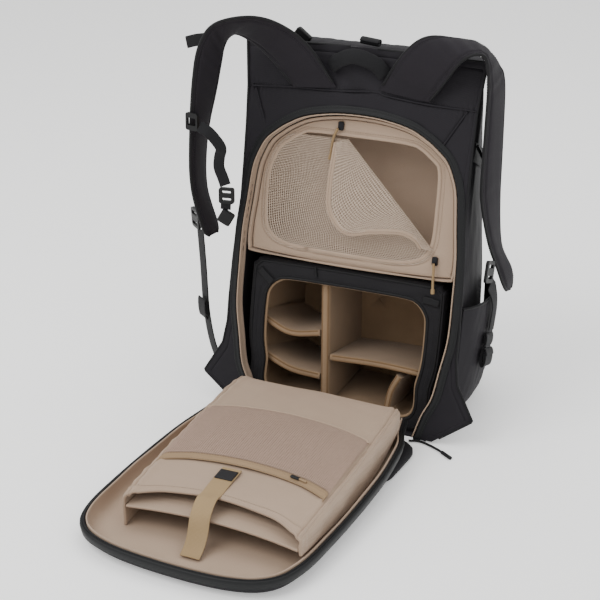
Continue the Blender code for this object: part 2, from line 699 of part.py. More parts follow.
def door_outline(inset, count=35):
    """Left foot to right foot of the door's rim, moved inwards by an inset: rows of x and u."""
    line = inward(DOOR_RIM_LINE, inset)
    pick = np.linspace(0, len(line) - 1, count)
    line = np.stack([np.interp(pick, np.arange(len(line)), line[:, k]) for k in (0, 1)], axis=1)
    line[:, 1] = np.maximum(line[:, 1], 0.002)
    return line


def door_foot(u):
    """Height of the door's underside above the floor at a distance from the hinge."""
    return DOOR_FOOT_NEAR + (DOOR_FOOT_FAR - DOOR_FOOT_NEAR) * np.clip(u / DOOR_LENGTH, 0, 1)


def door_tray(rim_inset, base_lift, rise):
    """The door's dished form: a flat floor whose edge curls up to a rim."""
    rim = door_outline(rim_inset)
    curl = door_outline(rim_inset + 0.003)
    foot = door_outline(rim_inset + 0.012)
    spine_x = np.zeros(len(foot))
    rows = []
    for x, u, up in (
        (spine_x, foot[:, 1], 0.0),
        (foot[:, 0] * 0.6, foot[:, 1], 0.0),
        (foot[:, 0], foot[:, 1], 0.0),
        (curl[:, 0], curl[:, 1], rise * 0.42),
        (rim[:, 0], rim[:, 1], rise),
    ):
        rows.append(on_door(x, u, door_foot(u) + base_lift + up))
    return rows


sheet("door_panel", door_tray(0.0, DOOR_WALL / 2, DOOR_RIM), DOOR_WALL, SHELL_CLOTH)
lining_gap = DOOR_WALL / 2 + GAP + DOOR_LINING_WALL / 2 + 0.0004
lining_lift = DOOR_WALL + GAP + DOOR_LINING_WALL / 2
sheet("door_lining", door_tray(lining_gap, lining_lift, DOOR_RIM), DOOR_LINING_WALL, BEIGE_CLOTH)
zip_line = door_outline(-DOOR_WALL / 2 - GAP - ZIP_THICK / 2 - 0.0002)
door_zip = [on_door(*zip_line.T, door_foot(zip_line[:, 1]) + DOOR_RIM + h) for h in (-0.009, 0.001)]
sheet("door_zip", door_zip, ZIP_THICK, ZIP_COAT)


def slab(name, half_width, start, length, height, corner, finish, tilt=0.0):
    """A pad under the door: a rounded slab with a flat underside on the floor."""
    loop = np.array(rectangle(2 * half_width, length, corner, (0.0, start + length / 2), steps=3))
    middle = np.array([0.0, start + length / 2])
    rings = []
    for inset, level in ((0.004, 0.0), (0.0, 0.35), (0.0, 0.7), (0.005, 1.0)):
        scale = 1 - inset / half_width
        flat = middle + (loop - middle) * scale
        top = (height - tilt * (flat[:, 1] - start) / length) * level
        rings.append(on_door(flat[:, 0], flat[:, 1], top))
    return loft(name, rings, finish)


PAD_START = 0.010
slope = (DOOR_FOOT_NEAR - DOOR_FOOT_FAR) / DOOR_LENGTH
slab("lumbar_pad", PAD_HALF, PAD_START, PAD_LENGTH, door_foot(PAD_START) - GAP, 0.022, DARK_WEB,
     slope * PAD_LENGTH)
BACK_PAD_START = PAD_START + PAD_LENGTH + 0.012
BACK_PAD_LENGTH = 0.20
slab("back_pad", PAD_HALF * 0.76, BACK_PAD_START, BACK_PAD_LENGTH, door_foot(BACK_PAD_START) - GAP, 0.020,
     DARK_WEB, slope * BACK_PAD_LENGTH)

# Cloth hinge between the bag's floor and the door
hinge_rows = []
hinge_over = door_foot(0.0) + lining_lift + DOOR_LINING_WALL / 2 + GAP + 0.0012
for x in np.linspace(-0.100, 0.100, 5):
    inside = np.array([x, REAR_FOOT_Y + 0.010, SHELL_WALL + 0.0014])
    sill = np.array([x, REAR_FOOT_Y - 0.001, SHELL_WALL + 0.006])
    hinge_rows.append([inside, sill, on_door(x, -0.003, hinge_over), on_door(x, 0.010, hinge_over)])
sheet("door_hinge", hinge_rows, 0.0014, BEIGE_CLOTH)


# Laptop sleeve: a padded box on the door, open at its far end
def sleeve_top(u):
    """Height of the sleeve's upper side above the floor."""
    return SLEEVE_TOP_NEAR + (SLEEVE_TOP_FAR - SLEEVE_TOP_NEAR) * np.clip(u / SLEEVE_LENGTH, 0, 1.2)


def sleeve_floor(u):
    """Height of the door lining's upper side."""
    return door_foot(u) + lining_lift + DOOR_LINING_WALL / 2


def on_sleeve(x, u, h):
    """A point of the sleeve, which lies straight while the door under it is turned a little."""
    x, u = np.broadcast_arrays(np.asarray(x, float), np.asarray(u, float))
    return on_door(x + SLEEVE_SKEW * u, u + SLEEVE_MOUTH_SKEW * x, h)


def rim_x(u, inset):
    """Half-width of the door's tray at a distance from the hinge, moved in by an inset."""
    line = door_outline(lining_gap + inset)
    left = line[:len(line) // 2]
    return -np.interp(u, left[:, 1], left[:, 0])


def lining_rise(x, u):
    """How far the curled edge of the door lining stands above its flat part at a place."""
    marks = [rim_x(u, d) for d in (0.0, 0.003, 0.012)]
    return np.interp(-abs(x), [-m for m in marks], (DOOR_RIM, DOOR_RIM * 0.42, 0.0))


# Along the sleeve: share of its length, half-width share, height share, and how far the
# row's middle is drawn back from its sides as a share of the sleeve's length
SLEEVE_SKEW = math.tan(DOOR_YAW)
SLEEVE_MOUTH_SKEW = -0.026
SLEEVE = np.array([
    (0.000, 0.90, 0.72, -0.010),
    (0.020, 0.95, 0.93, -0.015),
    (0.060, 0.98, 1.00, -0.010),
    (0.300, 1.00, 1.02, 0.000),
    (0.600, 1.00, 1.02, 0.000),
    (0.860, 0.985, 1.01, 0.035),
    (1.000, 0.97, 1.00, 0.100),
])


def side_base(x, u):
    """Height of the sleeve wall's foot, standing on the door lining or on its curled edge."""
    local = x + SLEEVE_SKEW * u
    outer = local + math.copysign(SLEEVE_WALL / 2 + 0.0046, x)
    return sleeve_floor(u) + lining_rise(outer, u) + 2 * GAP + SLEEVE_WALL * 0.1


def sleeve_section(u, half_width, top, drawn):
    """One cross-section of the sleeve: side, round shoulder and crowned top."""
    points = []
    for side in (-1, 1):
        base = side_base(side * half_width, u)
        for x, level, pull in ((1.0, 0.0, 0.0), (1.0, 0.45, 0.0), (1.0, 0.80, 0.0), (0.975, 0.95, 0.0),
                               (0.92, 1.0, 0.15), (0.65, 1.03, 0.7), (0.33, 1.05, 0.95)):
            points.append((side * x * half_width, u - drawn * pull, base + (top - base) * level))
    floor = sleeve_floor(u)
    centre = [(0.0, u - drawn, floor + (top - floor) * 1.055)]
    both = np.array(points[:7] + centre + points[:6:-1])
    return on_sleeve(both[:, 0], both[:, 1], both[:, 2])


sleeve_rows = []
for along, wide, high, drawn in SLEEVE:
    u = SLEEVE_START + along * SLEEVE_LENGTH
    floor = sleeve_floor(u)
    top = floor + (sleeve_top(u) - SLEEVE_WALL / 2 - floor) * high
    sleeve_rows.append(sleeve_section(u, wide * SLEEVE_HALF, top, drawn * SLEEVE_LENGTH))
near = sleeve_rows[0].copy()
near[:, 2] = np.minimum(near[:, 2], max(near[0, 2], near[-1, 2]))
sheet("laptop_sleeve", [near] + sleeve_rows, SLEEVE_WALL, BEIGE_CLOTH)

# Padded layer between the laptop and the tablet pocket
layer_half = SLEEVE_HALF - SLEEVE_WALL / 2 - 3 * GAP
layer_rows = []
for along, wide, drawn in ((0.12, 0.99, 0.0), (0.40, 0.995, 0.0), (0.75, 0.985, 0.0), (1.01, 0.963, 0.010)):
    u = SLEEVE_START + along * SLEEVE_LENGTH
    floor = sleeve_floor(u)
    level = floor + (sleeve_top(u) - floor) * 0.60
    x = np.linspace(-1, 1, 9)
    crown = 1 - x ** 2
    layer_rows.append(on_sleeve(x * layer_half * wide, u - drawn * crown, level + 0.002 * crown))
sheet("tablet_divider", layer_rows, TABLET_WALL, BEIGE_CLOTH)


def over_sleeve(share, column, lift):
    """A point above the sleeve's upper side: share of its length, column across its section, lift."""
    rows = np.array(sleeve_rows)
    along = np.interp(share, SLEEVE[:, 0], np.arange(len(SLEEVE)))
    r = np.minimum(np.floor(along).astype(int), len(rows) - 2)
    c = np.minimum(np.floor(column).astype(int), rows.shape[1] - 2)
    f = (along - r)[:, None]
    g = (column - c)[:, None]
    near_side = rows[r, c] * (1 - g) + rows[r, c + 1] * g
    far_side = rows[r + 1, c] * (1 - g) + rows[r + 1, c + 1] * g
    return near_side * (1 - f) + far_side * f + np.array([0.0, 0.0, 1.0]) * lift


# Netting pocket on the sleeve, its near edge dipping towards the hinge at the middle
POCKET_NEAR = 0.27
POCKET_FAR = 0.655
POCKET_COLUMNS = 15
POCKET_ROWS = 8
pocket_lift = SLEEVE_WALL / 2 + 4 * GAP + NET_THICK / 2
pocket_columns = np.linspace(3.6, 10.4, POCKET_COLUMNS)
bend = ((pocket_columns - 7) / 3.4) ** 2
pocket_rows = []
for k in np.linspace(0, 1, POCKET_ROWS):
    share = POCKET_NEAR + (POCKET_FAR - POCKET_NEAR) * k + 0.07 * bend
    pocket_rows.append(over_sleeve(share, pocket_columns, pocket_lift + 0.002 * math.sin(math.pi * k)))
cells = POCKET_COLUMNS - 1
pocket_holes = {
    r * cells + c for r in range(1, POCKET_ROWS - 1, 2) for c in range(1, cells - 1, 2)
}
sheet("mesh_pocket", pocket_rows, NET_THICK, BEIGE_NET, skip=pocket_holes)

# Zip along the pocket's far edge
POCKET_ZIP = 0.016
zip_rows = []
for k in (0.006, 0.006 + POCKET_ZIP / SLEEVE_LENGTH):
    zip_rows.append(over_sleeve(POCKET_FAR + 0.07 * bend + k, pocket_columns, pocket_lift))
sheet("pocket_zip", zip_rows, 0.0014, BEIGE_CLOTH)

# Tan strap from a patch on the sleeve over its lip to the door
STRAP_BAND = 0.026
lip = over_sleeve(np.array([0.74, 0.84, 0.92, 0.985]), np.full(4, 6.6), SLEEVE_WALL / 2 + 0.0016)
band_route = list(lip) + [
    lip[-1] + np.array([0.001, -0.016, 0.001]),
    lip[-1] + np.array([0.002, -0.034, -0.011]),
    lip[-1] + np.array([0.004, -0.050, -0.036]),
    lip[-1] + np.array([0.004, -0.068, -0.0485]),
]
ribbon("sleeve_strap", smooth_line(band_route, 12), (0.0, -0.25, 1.0), STRAP_BAND, TAN_WEB)

# Shoulder straps: the two edge lines of each, as x share of the panel's half-width, distance out
# of the rear face as a share of the reach, and height share
STRAP_REACH = 0.100
LEFT_INNER = by_share([
    (-0.194, 0.026, 0.900), (-0.424, 0.34, 1.024), (-0.694, 0.73, 1.089), (-0.970, 1.06, 1.083),
    (-1.100, 1.10, 1.028), (-1.145, 1.08, 0.935), (-1.170, 0.97, 0.786), (-1.178, 0.81, 0.644),
    (-1.105, 0.63, 0.523), (-1.070, 0.51, 0.497)], STRAP_REACH)
LEFT_OUTER = by_share([
    (-0.559, 0.026, 0.889), (-0.765, 0.28, 0.982), (-0.985, 0.40, 1.028), (-1.050, 0.52, 1.008),
    (-1.062, 0.58, 0.950), (-1.100, 0.53, 0.885), (-1.195, 0.38, 0.756), (-1.210, 0.26, 0.618),
    (-1.100, 0.22, 0.515), (-1.070, 0.29, 0.493)], STRAP_REACH)
RIGHT_INNER = by_share([
    (0.165, 0.026, 0.905), (0.335, 0.22, 0.996), (0.500, 0.31, 1.053), (0.620, 0.22, 1.062),
    (0.760, 0.10, 1.055), (0.890, -0.03, 1.045), (0.995, -0.18, 1.012), (1.055, -0.30, 0.975),
    (1.090, -0.36, 0.932), (1.090, -0.58, 0.756), (1.085, -0.73, 0.643), (1.085, -0.93, 0.531),
    (1.100, -1.09, 0.463), (1.145, -1.29, 0.412), (1.160, -1.43, 0.366), (1.156, -1.435, 0.333)],
    STRAP_REACH)
RIGHT_OUTER = by_share([
    (0.582, 0.026, 0.889), (0.676, 0.16, 0.929), (0.760, 0.24, 0.968), (0.860, 0.39, 1.012),
    (0.950, 0.43, 1.034), (1.025, 0.41, 1.036), (1.060, 0.36, 1.014), (1.072, 0.27, 0.955),
    (1.060, 0.16, 0.893), (1.040, -0.06, 0.719), (1.045, -0.12, 0.651), (1.068, -0.33, 0.566),
    (1.095, -0.54, 0.497), (1.118, -0.78, 0.440), (1.152, -1.02, 0.374), (1.162, -1.20, 0.345)],
    STRAP_REACH)
STRAP_STEPS = 25
left_edges = smooth_line(LEFT_INNER, STRAP_STEPS), smooth_line(LEFT_OUTER, STRAP_STEPS)
right_edges = smooth_line(RIGHT_INNER, STRAP_STEPS), smooth_line(RIGHT_OUTER, STRAP_STEPS)
padded_strap("shoulder_strap_left", *left_edges, STRAP_THICK, STRAP_CLOTH)
padded_strap("shoulder_strap_right", *right_edges, STRAP_THICK, STRAP_CLOTH)

# Left lower webbing, from the ladder lock behind the strap's end down behind the wing
web_left = smooth_line(by_panel([
    (-0.2195, -0.088, 0.241), (-0.214, -0.092, 0.189), (-0.2095, -0.096, 0.134),
    (-0.2045, -0.099, 0.105), (-0.1975, -0.102, 0.079), (-0.190, -0.104, 0.060)]), 9)
ribbon("lower_webbing_left", web_left, (-0.6, -0.8, 0.0), NARROW_WEBBING, DARK_WEB)
slots = [rectangle(0.019, 0.005, 0.001, (0.0, y), steps=1) for y in (-0.0075, 0.0075)]
plate("ladder_lock_left", rectangle(0.026, 0.029, 0.004), slots, 0.004, by_panel((-0.2272, -0.0862, 0.2560)),
      (0.75, -0.66, 0.0), (-0.1, 0.0, 1.0), BLACK_PLASTIC)
tab_left = by_panel([(-0.2020, -0.1010, 0.2795), (-0.2100, -0.0985, 0.2765), (-0.2175, -0.0945, 0.2700)])
ribbon("strap_tab_left", tab_left, (-0.4, -0.9, 0.0), 0.012, DARK_WEB)
block("webbing_keeper_left", by_panel((-0.2120, -0.1004, 0.129)), (0.8, -0.6, 0.0), (-0.1, 0.0, 1.0),
      (0.022, 0.036, 0.006), DARK_WEB)

# Sternum webbing on the left strap, with its ladder lock, adjuster and buckle half
plate("sternum_ladder_left", rectangle(0.020, 0.024, 0.003), [rectangle(0.014, 0.010, 0.001, steps=1)], 0.004,
      by_panel((-0.194, -0.1507, 0.417)), (1.0, -0.2, 0.0), (0.1, 0.0, 1.0), BLACK_PLASTIC)
sternum = smooth_line(by_panel([
    (-0.1822, -0.1530, 0.4125), (-0.168, -0.155, 0.407), (-0.158, -0.153, 0.396), (-0.152, -0.151, 0.385),
    (-0.156, -0.148, 0.372), (-0.157, -0.148, 0.358), (-0.151, -0.149, 0.344), (-0.147, -0.150, 0.3345)]), 13)
ribbon("sternum_webbing", sternum, (0.25, -0.9, 0.3), 0.015, DARK_WEB)
plate("sternum_adjuster", rectangle(0.021, 0.022, 0.003),
      [rectangle(0.013, 0.004, 0.001, (0.0, y), steps=1) for y in (-0.005, 0.005)], 0.005,
      by_panel((-0.145, -0.151, 0.3208)), (1.0, 0.2, 0.0), (-0.1, 0.0, 1.0), BLACK_PLASTIC)
web_end = by_panel([(-0.1463, -0.151, 0.3094), (-0.1465, -0.151, 0.3062), (-0.1468, -0.151, 0.3032)])
ribbon("sternum_web_end", web_end, (0.2, -1.0, 0.0), 0.014, DARK_WEB)
block("sternum_buckle", by_panel((-0.146, -0.152, 0.290)), (0.82, 0.2, -0.5), (0.5, 0.0, 0.82),
      (0.019, 0.020, 0.007), BLACK_PLASTIC)


def on_strap(edges, share, across, lift, side):
    """A line over a padded strap: shares of its length and its width, lifted off one broad side."""
    edge_a, edge_b = edges
    middle = (edge_a + edge_b) / 2
    wide = (edge_b - edge_a) / 2
    normal = unit(np.cross(wide, np.gradient(middle, axis=0))) * side
    line = middle + wide * across + normal * (STRAP_THICK / 2 + lift)
    at = np.asarray(share) * (len(middle) - 1)
    pick = np.arange(len(middle))
    place = np.stack([np.interp(at, pick, line[:, k]) for k in range(3)], axis=1)
    facing = np.stack([np.interp(at, pick, normal[:, k]) for k in range(3)], axis=1)
    return place, facing


rail, rail_facing = on_strap(left_edges, np.linspace(0.50, 0.68, 6), -0.35, 0.0012, 1)
ribbon("rail_webbing_left", rail, rail_facing, 0.010, DARK_WEB)
loop_left = by_panel([(-0.1890, -0.118, 0.521), (-0.2020, -0.118, 0.5185), (-0.2165, -0.118, 0.514)])
ribbon("strap_loop_left", loop_left, (0.0, -1.0, 0.2), 0.016, DARK_WEB, 0.003)

# Grab handle on the yoke between the straps
HANDLE_ROUTE = np.array([(-0.250, 0.951, 0.0030), (-0.17, 0.969, 0.011), (-0.03, 0.984, 0.017),
                         (0.13, 0.969, 0.011), (0.205, 0.942, 0.0030)])
handle = on_face(HANDLE_ROUTE[:, 0] * PANEL_HALF, HANDLE_ROUTE[:, 1] * PANEL_LENGTH, HANDLE_ROUTE[:, 2])
ribbon("grab_handle", smooth_line(handle, 13), (0.0, -0.95, 0.3), 0.020, DARK_WEB, 0.0025)

# Webbing and buckle that hold the rolled top
block("roll_strap_keeper", np.array([0.003, -0.012, BODY_HEIGHT + ROLL_HEIGHT + 0.011]), (1.0, 0.0, -0.1),
      (0.1, 0.0, 1.0), (0.026, 0.012, 0.020), DARK_WEB)
block("roll_strap_buckle", np.array([-0.093, rear_y(PANEL_TOP) + 0.0106, PANEL_TOP + 0.008]), (0.8, 0.0, -0.6),
      (0.6, 0.0, 0.8), (0.024, 0.016, 0.008), BLACK_PLASTIC)

# Right side: compression webbing, its pull cord and its wire hook
compression = np.array([side_point(k, 0.391 - 0.06 * k, 0.0022) for k in np.linspace(0.03, 0.55, 5)])
ribbon("compression_strap_right", compression, (1.0, 0.0, 0.0), WEBBING, DARK_WEB)
cord("compression_pull_right", [(0.1650, -0.040, 0.397), (0.1683, -0.022, 0.376), (0.1715, -0.004, 0.3545)],
     0.0024, BLACK_PLASTIC, 4)
plate("compression_hook_right", rectangle(0.014, 0.030, 0.003), [rectangle(0.009, 0.025, 0.002)], 0.0025,
      (0.1728, -0.0010, 0.3376), (0.0, 1.0, 0.0), (0.0, 0.0, 1.0), DARK_METAL)

# Right side pocket, slack and open at the top
POCKET_HEIGHT = 0.172
pocket_foot = 0.008
pocket_k = np.linspace(0.06, 0.92, 8)
side_rows = []
for share in np.linspace(0, 1, 6):
    z = pocket_foot + POCKET_HEIGHT * share
    row = []
    for i, k in enumerate(pocket_k):
        swell = math.sin(math.pi * i / (len(pocket_k) - 1)) ** 0.7 * min(1.0, 0.45 + share * 2.0)
        row.append(side_point(min(k, CORNER_START - 0.02), z - 0.018 * k * share, 0.0024 + 0.024 * swell))
        row[-1][1] += max(0.0, k - CORNER_START + 0.02) * 0.10
    side_rows.append(row)
sheet("side_pocket_right", side_rows, 0.0016, SHELL_CLOTH)

# Right lower webbing from the ladder lock down to its folded and rolled tail over the pocket
web_right = smooth_line(by_panel([(0.187, -0.0232, 0.2024), (0.1885, -0.008, 0.182), (0.1895, -0.004, 0.160),
                         (0.1885, -0.012, 0.1285)]), 6)
ribbon("lower_webbing_right", web_right, (1.0, 0.0, 0.0), 0.022, DARK_WEB)
plate("ladder_lock_right", rectangle(0.034, 0.030, 0.004), slots, 0.004, by_panel((0.188, -0.0324, 0.2219)),
      (0.0, 1.0, -0.35), (0.0, 0.35, 1.0), BLACK_PLASTIC)
block("webbing_keeper_right", by_panel((0.187, -0.018, 0.118)), (0.0, 1.0, -0.3), (0.0, 0.3, 1.0),
      (0.032, 0.022, 0.006), DARK_WEB)
block("rolled_tail_right", by_panel((0.188, -0.026, 0.0925)), (0.0, 1.0, -0.3), (0.0, 0.3, 1.0),
      (0.034, 0.030, 0.010), DARK_WEB)

# Zip pulls: two on the netting window and one for the main zip, lying on the floor
SLIDER_SIZE = (0.008, 0.012, 0.004)
SLIDER_N = FRONT_N + LINING_WALL / 2 + GAP + SLIDER_SIZE[2] / 2
FACE_UP = (0.0, math.sin(LEAN), math.cos(LEAN))
PULL_RADIUS = 0.0018


def window_pull(name, x, s, n):
    """A tan cord on a slider, through points across and along the face, lifted off the panel."""
    cord(name, on_face(np.array(x), np.array(s), FRONT_N + np.array(n)), PULL_RADIUS, TAN_WEB, 5)


block("window_slider_upper", on_face(-0.028, WINDOW_TOP + 0.011, SLIDER_N), (1.0, 0.0, 0.0), FACE_UP, SLIDER_SIZE,
      DARK_METAL, 0.002)
UPPER_PULL = WINDOW_TOP + np.array([0.0075, -0.008, -0.036])
window_pull("window_pull_upper", [-0.031, -0.037, -0.0395], UPPER_PULL, [0.0076, 0.0056, 0.0048])
block("window_slider_lower", on_face(WINDOW_RIGHT + 0.0045, WINDOW_BOTTOM + 0.011, SLIDER_N), (1.0, 0.0, 0.0), FACE_UP, SLIDER_SIZE,
      DARK_METAL, 0.002)
LOWER_PULL = WINDOW_BOTTOM + np.array([0.0085, -0.002, -0.014, -0.032])
window_pull("window_pull_lower", WINDOW_RIGHT + np.array([0.0045, 0.0055, 0.0065, 0.008]), LOWER_PULL,
            [0.0076, 0.0080, 0.0096, 0.0096])
cord("base_zip_pull", [(0.118, -0.139, 0.0028), (0.134, -0.1345, 0.0024), (0.160, -0.145, 0.0024),
                       (0.186, -0.162, 0.0024)], 0.0022, DARK_WEB, 7)
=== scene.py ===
"""Looks of an opened camera backpack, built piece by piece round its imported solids."""

import math

import bmesh
import bpy
import numpy as np
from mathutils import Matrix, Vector


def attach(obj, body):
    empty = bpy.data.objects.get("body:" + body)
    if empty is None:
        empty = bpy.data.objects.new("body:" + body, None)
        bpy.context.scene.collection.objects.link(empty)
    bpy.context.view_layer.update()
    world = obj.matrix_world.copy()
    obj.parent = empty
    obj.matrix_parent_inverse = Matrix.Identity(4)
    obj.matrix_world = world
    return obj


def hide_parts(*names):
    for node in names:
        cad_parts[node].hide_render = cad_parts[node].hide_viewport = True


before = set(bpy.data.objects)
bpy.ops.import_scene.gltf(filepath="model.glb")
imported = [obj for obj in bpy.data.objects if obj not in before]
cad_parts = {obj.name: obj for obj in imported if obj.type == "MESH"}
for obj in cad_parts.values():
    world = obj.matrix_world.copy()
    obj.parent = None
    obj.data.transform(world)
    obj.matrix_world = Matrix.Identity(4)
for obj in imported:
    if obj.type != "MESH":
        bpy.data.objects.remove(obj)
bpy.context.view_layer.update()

# Studio: a pale floor that runs into a white background, a broad soft lamp above the left front
# and a weaker one on the right. The camera stands at the photograph's viewing angle.
LOOK_AT = np.array([-0.016, -0.200, 0.2105])
AZIMUTH = math.radians(24.01)
ELEVATION = math.radians(22.87)
DISTANCE = 1.9531
SENSOR_WIDTH = 36.0
PIXELS_ACROSS = 600.0
FOCAL_PIXELS = 1498.4

toward = np.array([math.sin(AZIMUTH) * math.cos(ELEVATION),
                   -math.cos(AZIMUTH) * math.cos(ELEVATION), math.sin(ELEVATION)])
camera_data = bpy.data.cameras.new("camera")
camera_data.sensor_width = SENSOR_WIDTH
camera_data.lens = FOCAL_PIXELS / PIXELS_ACROSS * SENSOR_WIDTH
camera = bpy.data.objects.new("camera", camera_data)
camera.location = LOOK_AT + toward * DISTANCE
camera.rotation_euler = Vector(-toward).to_track_quat("-Z", "Y").to_euler()
bpy.context.scene.collection.objects.link(camera)
bpy.context.scene.camera = camera


def soft_lamp(name, place, size, power):
    """A square area lamp that faces the middle of the bag."""
    data = bpy.data.lights.new(name, "AREA")
    data.size = size
    data.energy = power
    lamp = bpy.data.objects.new(name, data)
    lamp.location = place
    lamp.rotation_euler = (Vector((0.0, -0.2, 0.2)) - Vector(place)).to_track_quat("-Z", "Y").to_euler()
    bpy.context.scene.collection.objects.link(lamp)


soft_lamp("key_lamp", (-1.1, -1.7, 2.3), 1.8, 46.0)
soft_lamp("fill_lamp", (2.1, -1.6, 1.5), 1.6, 9.0)
soft_lamp("top_lamp", (0.1, 0.5, 2.4), 1.8, 22.0)

world = bpy.data.worlds.new("studio")
world.use_nodes = True
world.node_tree.nodes["Background"].inputs["Color"].default_value = (1.0, 1.0, 1.0, 1.0)
world.node_tree.nodes["Background"].inputs["Strength"].default_value = 1.0
bpy.context.scene.world = world


def linear(hex_colour):
    """An sRGB hex colour as linear red, green, blue and alpha: each channel through the sRGB curve."""
    c = np.array([int(hex_colour[i:i + 2], 16) / 255 for i in (0, 2, 4)])
    return (*np.where(c <= 0.04045, c / 12.92, ((c + 0.055) / 1.055) ** 2.4), 1.0)


def add(tree, kind, settings=None, **links):
    """A node of a kind with its settings, and its inputs given as values or as other nodes' outputs."""
    node = tree.nodes.new(kind)
    for key, value in (settings or {}).items():
        setattr(node, key, value)
    for key, value in links.items():
        numbered = key[0] == "i" and key[1:].isdigit()
        socket = node.inputs[int(key[1:]) if numbered else key.replace("_", " ")]
        if isinstance(value, bpy.types.NodeSocket):
            tree.links.new(value, socket)
        else:
            socket.default_value = value
    return node


def blank(name):
    """A new material with its node tree and its shader."""
    made = bpy.data.materials.new(name)
    made.use_nodes = True
    return made, made.node_tree, made.node_tree.nodes["Principled BSDF"]


FLOOR_REACH = 9.0
FLOOR_DROP = -0.0002
floor_finish, _, floor_shader = blank("painted_floor")
floor_shader.inputs["Base Color"].default_value = linear("F7F7F6")
floor_shader.inputs["Roughness"].default_value = 0.9
floor_shader.inputs["Emission Color"].default_value = (1.0, 1.0, 1.0, 1.0)
floor_shader.inputs["Emission Strength"].default_value = 0.30
floor_data = bpy.data.meshes.new("studio_floor")
floor_corners = [(x * FLOOR_REACH, y * FLOOR_REACH, FLOOR_DROP)
                 for x, y in ((-1, -1), (1, -1), (1, 1), (-1, 1))]
floor_data.from_pydata(floor_corners, [], [(0, 1, 2, 3)])
floor_data.materials.append(floor_finish)
studio_floor = bpy.data.objects.new("studio_floor", floor_data)
bpy.context.scene.collection.objects.link(studio_floor)

# Rear panel: black plain-woven nylon on foam, with a yoke seam, two diagonal corner seams and a
# turned hem, cut out for the big arched opening. Two low wings stand out for the lower webbing.
PANEL_LENGTH = 0.515
PANEL_HALF = 0.170
REAR_FOOT_Y = -0.130
LEAN = math.radians(11.27)
PANEL_TOP = PANEL_LENGTH * math.cos(LEAN)
OPENING_LENGTH = 0.430
OPENING_HALF = 0.158
FRAME_WALL = 0.006
GAP = 0.0003

# Left half from the foot to the middle of the top, as shares: opening half-width and height,
# panel half-width and height
OUTLINE = np.array([
    (0.766, 0.005, 0.870, 0.005), (0.829, 0.083, 1.182, 0.080), (0.905, 0.147, 1.030, 0.168),
    (0.950, 0.237, 1.000, 0.233), (0.997, 0.344, 1.000, 0.300), (1.000, 0.474, 0.990, 0.410),
    (0.994, 0.593, 0.975, 0.500), (0.968, 0.688, 0.955, 0.580), (0.937, 0.795, 0.953, 0.670),
    (0.886, 0.853, 0.955, 0.780), (0.823, 0.894, 0.965, 0.880), (0.728, 0.925, 1.000, 1.000),
    (0.633, 0.949, 0.800, 1.002), (0.475, 0.977, 0.550, 1.004), (0.240, 0.995, 0.270, 1.006),
    (0.000, 1.000, 0.000, 1.007),
])


def unit(v):
    """Vectors scaled to length one along their last axis."""
    return v / np.maximum(np.linalg.norm(v, axis=-1, keepdims=True), 1e-12)


def on_face(x, s, n):
    """A point of the leaning rear face: x across, s up along the face, n out of it to the rear."""
    x, s, n = np.broadcast_arrays(np.asarray(x, float), np.asarray(s, float), np.asarray(n, float))
    return np.stack([x, REAR_FOOT_Y + s * math.sin(LEAN) - n * math.cos(LEAN),
                     s * math.cos(LEAN) + n * math.sin(LEAN)], axis=-1)


def smooth_line(points, count):
    """A Catmull-Rom curve through the points, read at an even share of its stations."""
    p = np.asarray(points, float)
    ends = np.concatenate([[2 * p[0] - p[1]], p, [2 * p[-1] - p[-2]]])
    t = np.linspace(0, len(p) - 1, count)
    i = np.minimum(t.astype(int), len(p) - 2)
    f = (t - i)[:, None]
    a, b, c, d = ends[i], ends[i + 1], ends[i + 2], ends[i + 3]
    return 0.5 * (2 * b + (c - a) * f + (2 * a - 5 * b + 4 * c - d) * f ** 2
                  + (3 * b - a - 3 * c + d) * f ** 3)


def running(line):
    """Running length at each point of a line, from zero: the distances between neighbours summed."""
    return np.concatenate([[0.0], np.cumsum(np.linalg.norm(np.diff(line, axis=0), axis=1))])


def read_at(at, place, line):
    """Every column of a line, given at its places, read at other places in straight steps."""
    return np.stack([np.interp(at, place, column) for column in np.asarray(line).T], axis=1)


def even_line(points, count):
    """The same curve read at even distances: a fine reading, then its running length shared out."""
    fine = smooth_line(points, count * 6)
    run = running(fine)
    return read_at(np.linspace(0, run[-1], count), run, fine)


def mirrored(half):
    """A left half that ends on the middle line, and its mirror image back down on the right."""
    return np.concatenate([half, half[-2::-1] * np.resize([-1.0, 1.0], half.shape[1])])


def bell(x, middle, width):
    """A bell curve: the exponential of minus the square of the distance from its middle in widths."""
    return np.exp(-((x - middle) / width) ** 2)


def ramp(x, start, width):
    """A share that climbs from 0 to 1 over a width beyond its start."""
    return np.clip((x - start) / width, 0, 1)


def ripple(a, b, seed, scale, octaves=3):
    """Smooth unevenness between -1 and 1: crossed sine waves of doubling pitch and halving height."""
    total = np.zeros(np.broadcast(a, b).shape)
    for k in range(octaves):
        turn = seed * 1.7 + k * 2.1
        w = scale * 2 ** k
        along = (a * math.cos(turn) + b * math.sin(turn)) * w
        across = (b * math.cos(turn * 1.3) - a * math.sin(turn * 1.3)) * w * 0.8
        total = total + (np.sin(along + seed * 3.1 + k) * np.sin(across + seed)) / 2 ** k
    return total / 1.75


def quad_mesh(name, points, corners, flat):
    """Mesh data of four-cornered faces from arrays: points, corner numbers and places on the UV map."""
    count = corners.size // 4
    data = bpy.data.meshes.new(name)
    data.vertices.add(points.size // 3)
    data.vertices.foreach_set("co", points.reshape(-1).astype(np.float32))
    data.loops.add(count * 4)
    data.loops.foreach_set("vertex_index", corners.reshape(-1).astype(np.int32))
    data.polygons.add(count)
    data.polygons.foreach_set("loop_start", np.arange(0, count * 4, 4, dtype=np.int32))
    data.update(calc_edges=True)
    layer = data.uv_layers.new(name="cloth")
    layer.data.foreach_set("uv", flat.reshape(-1).astype(np.float32))
    return data


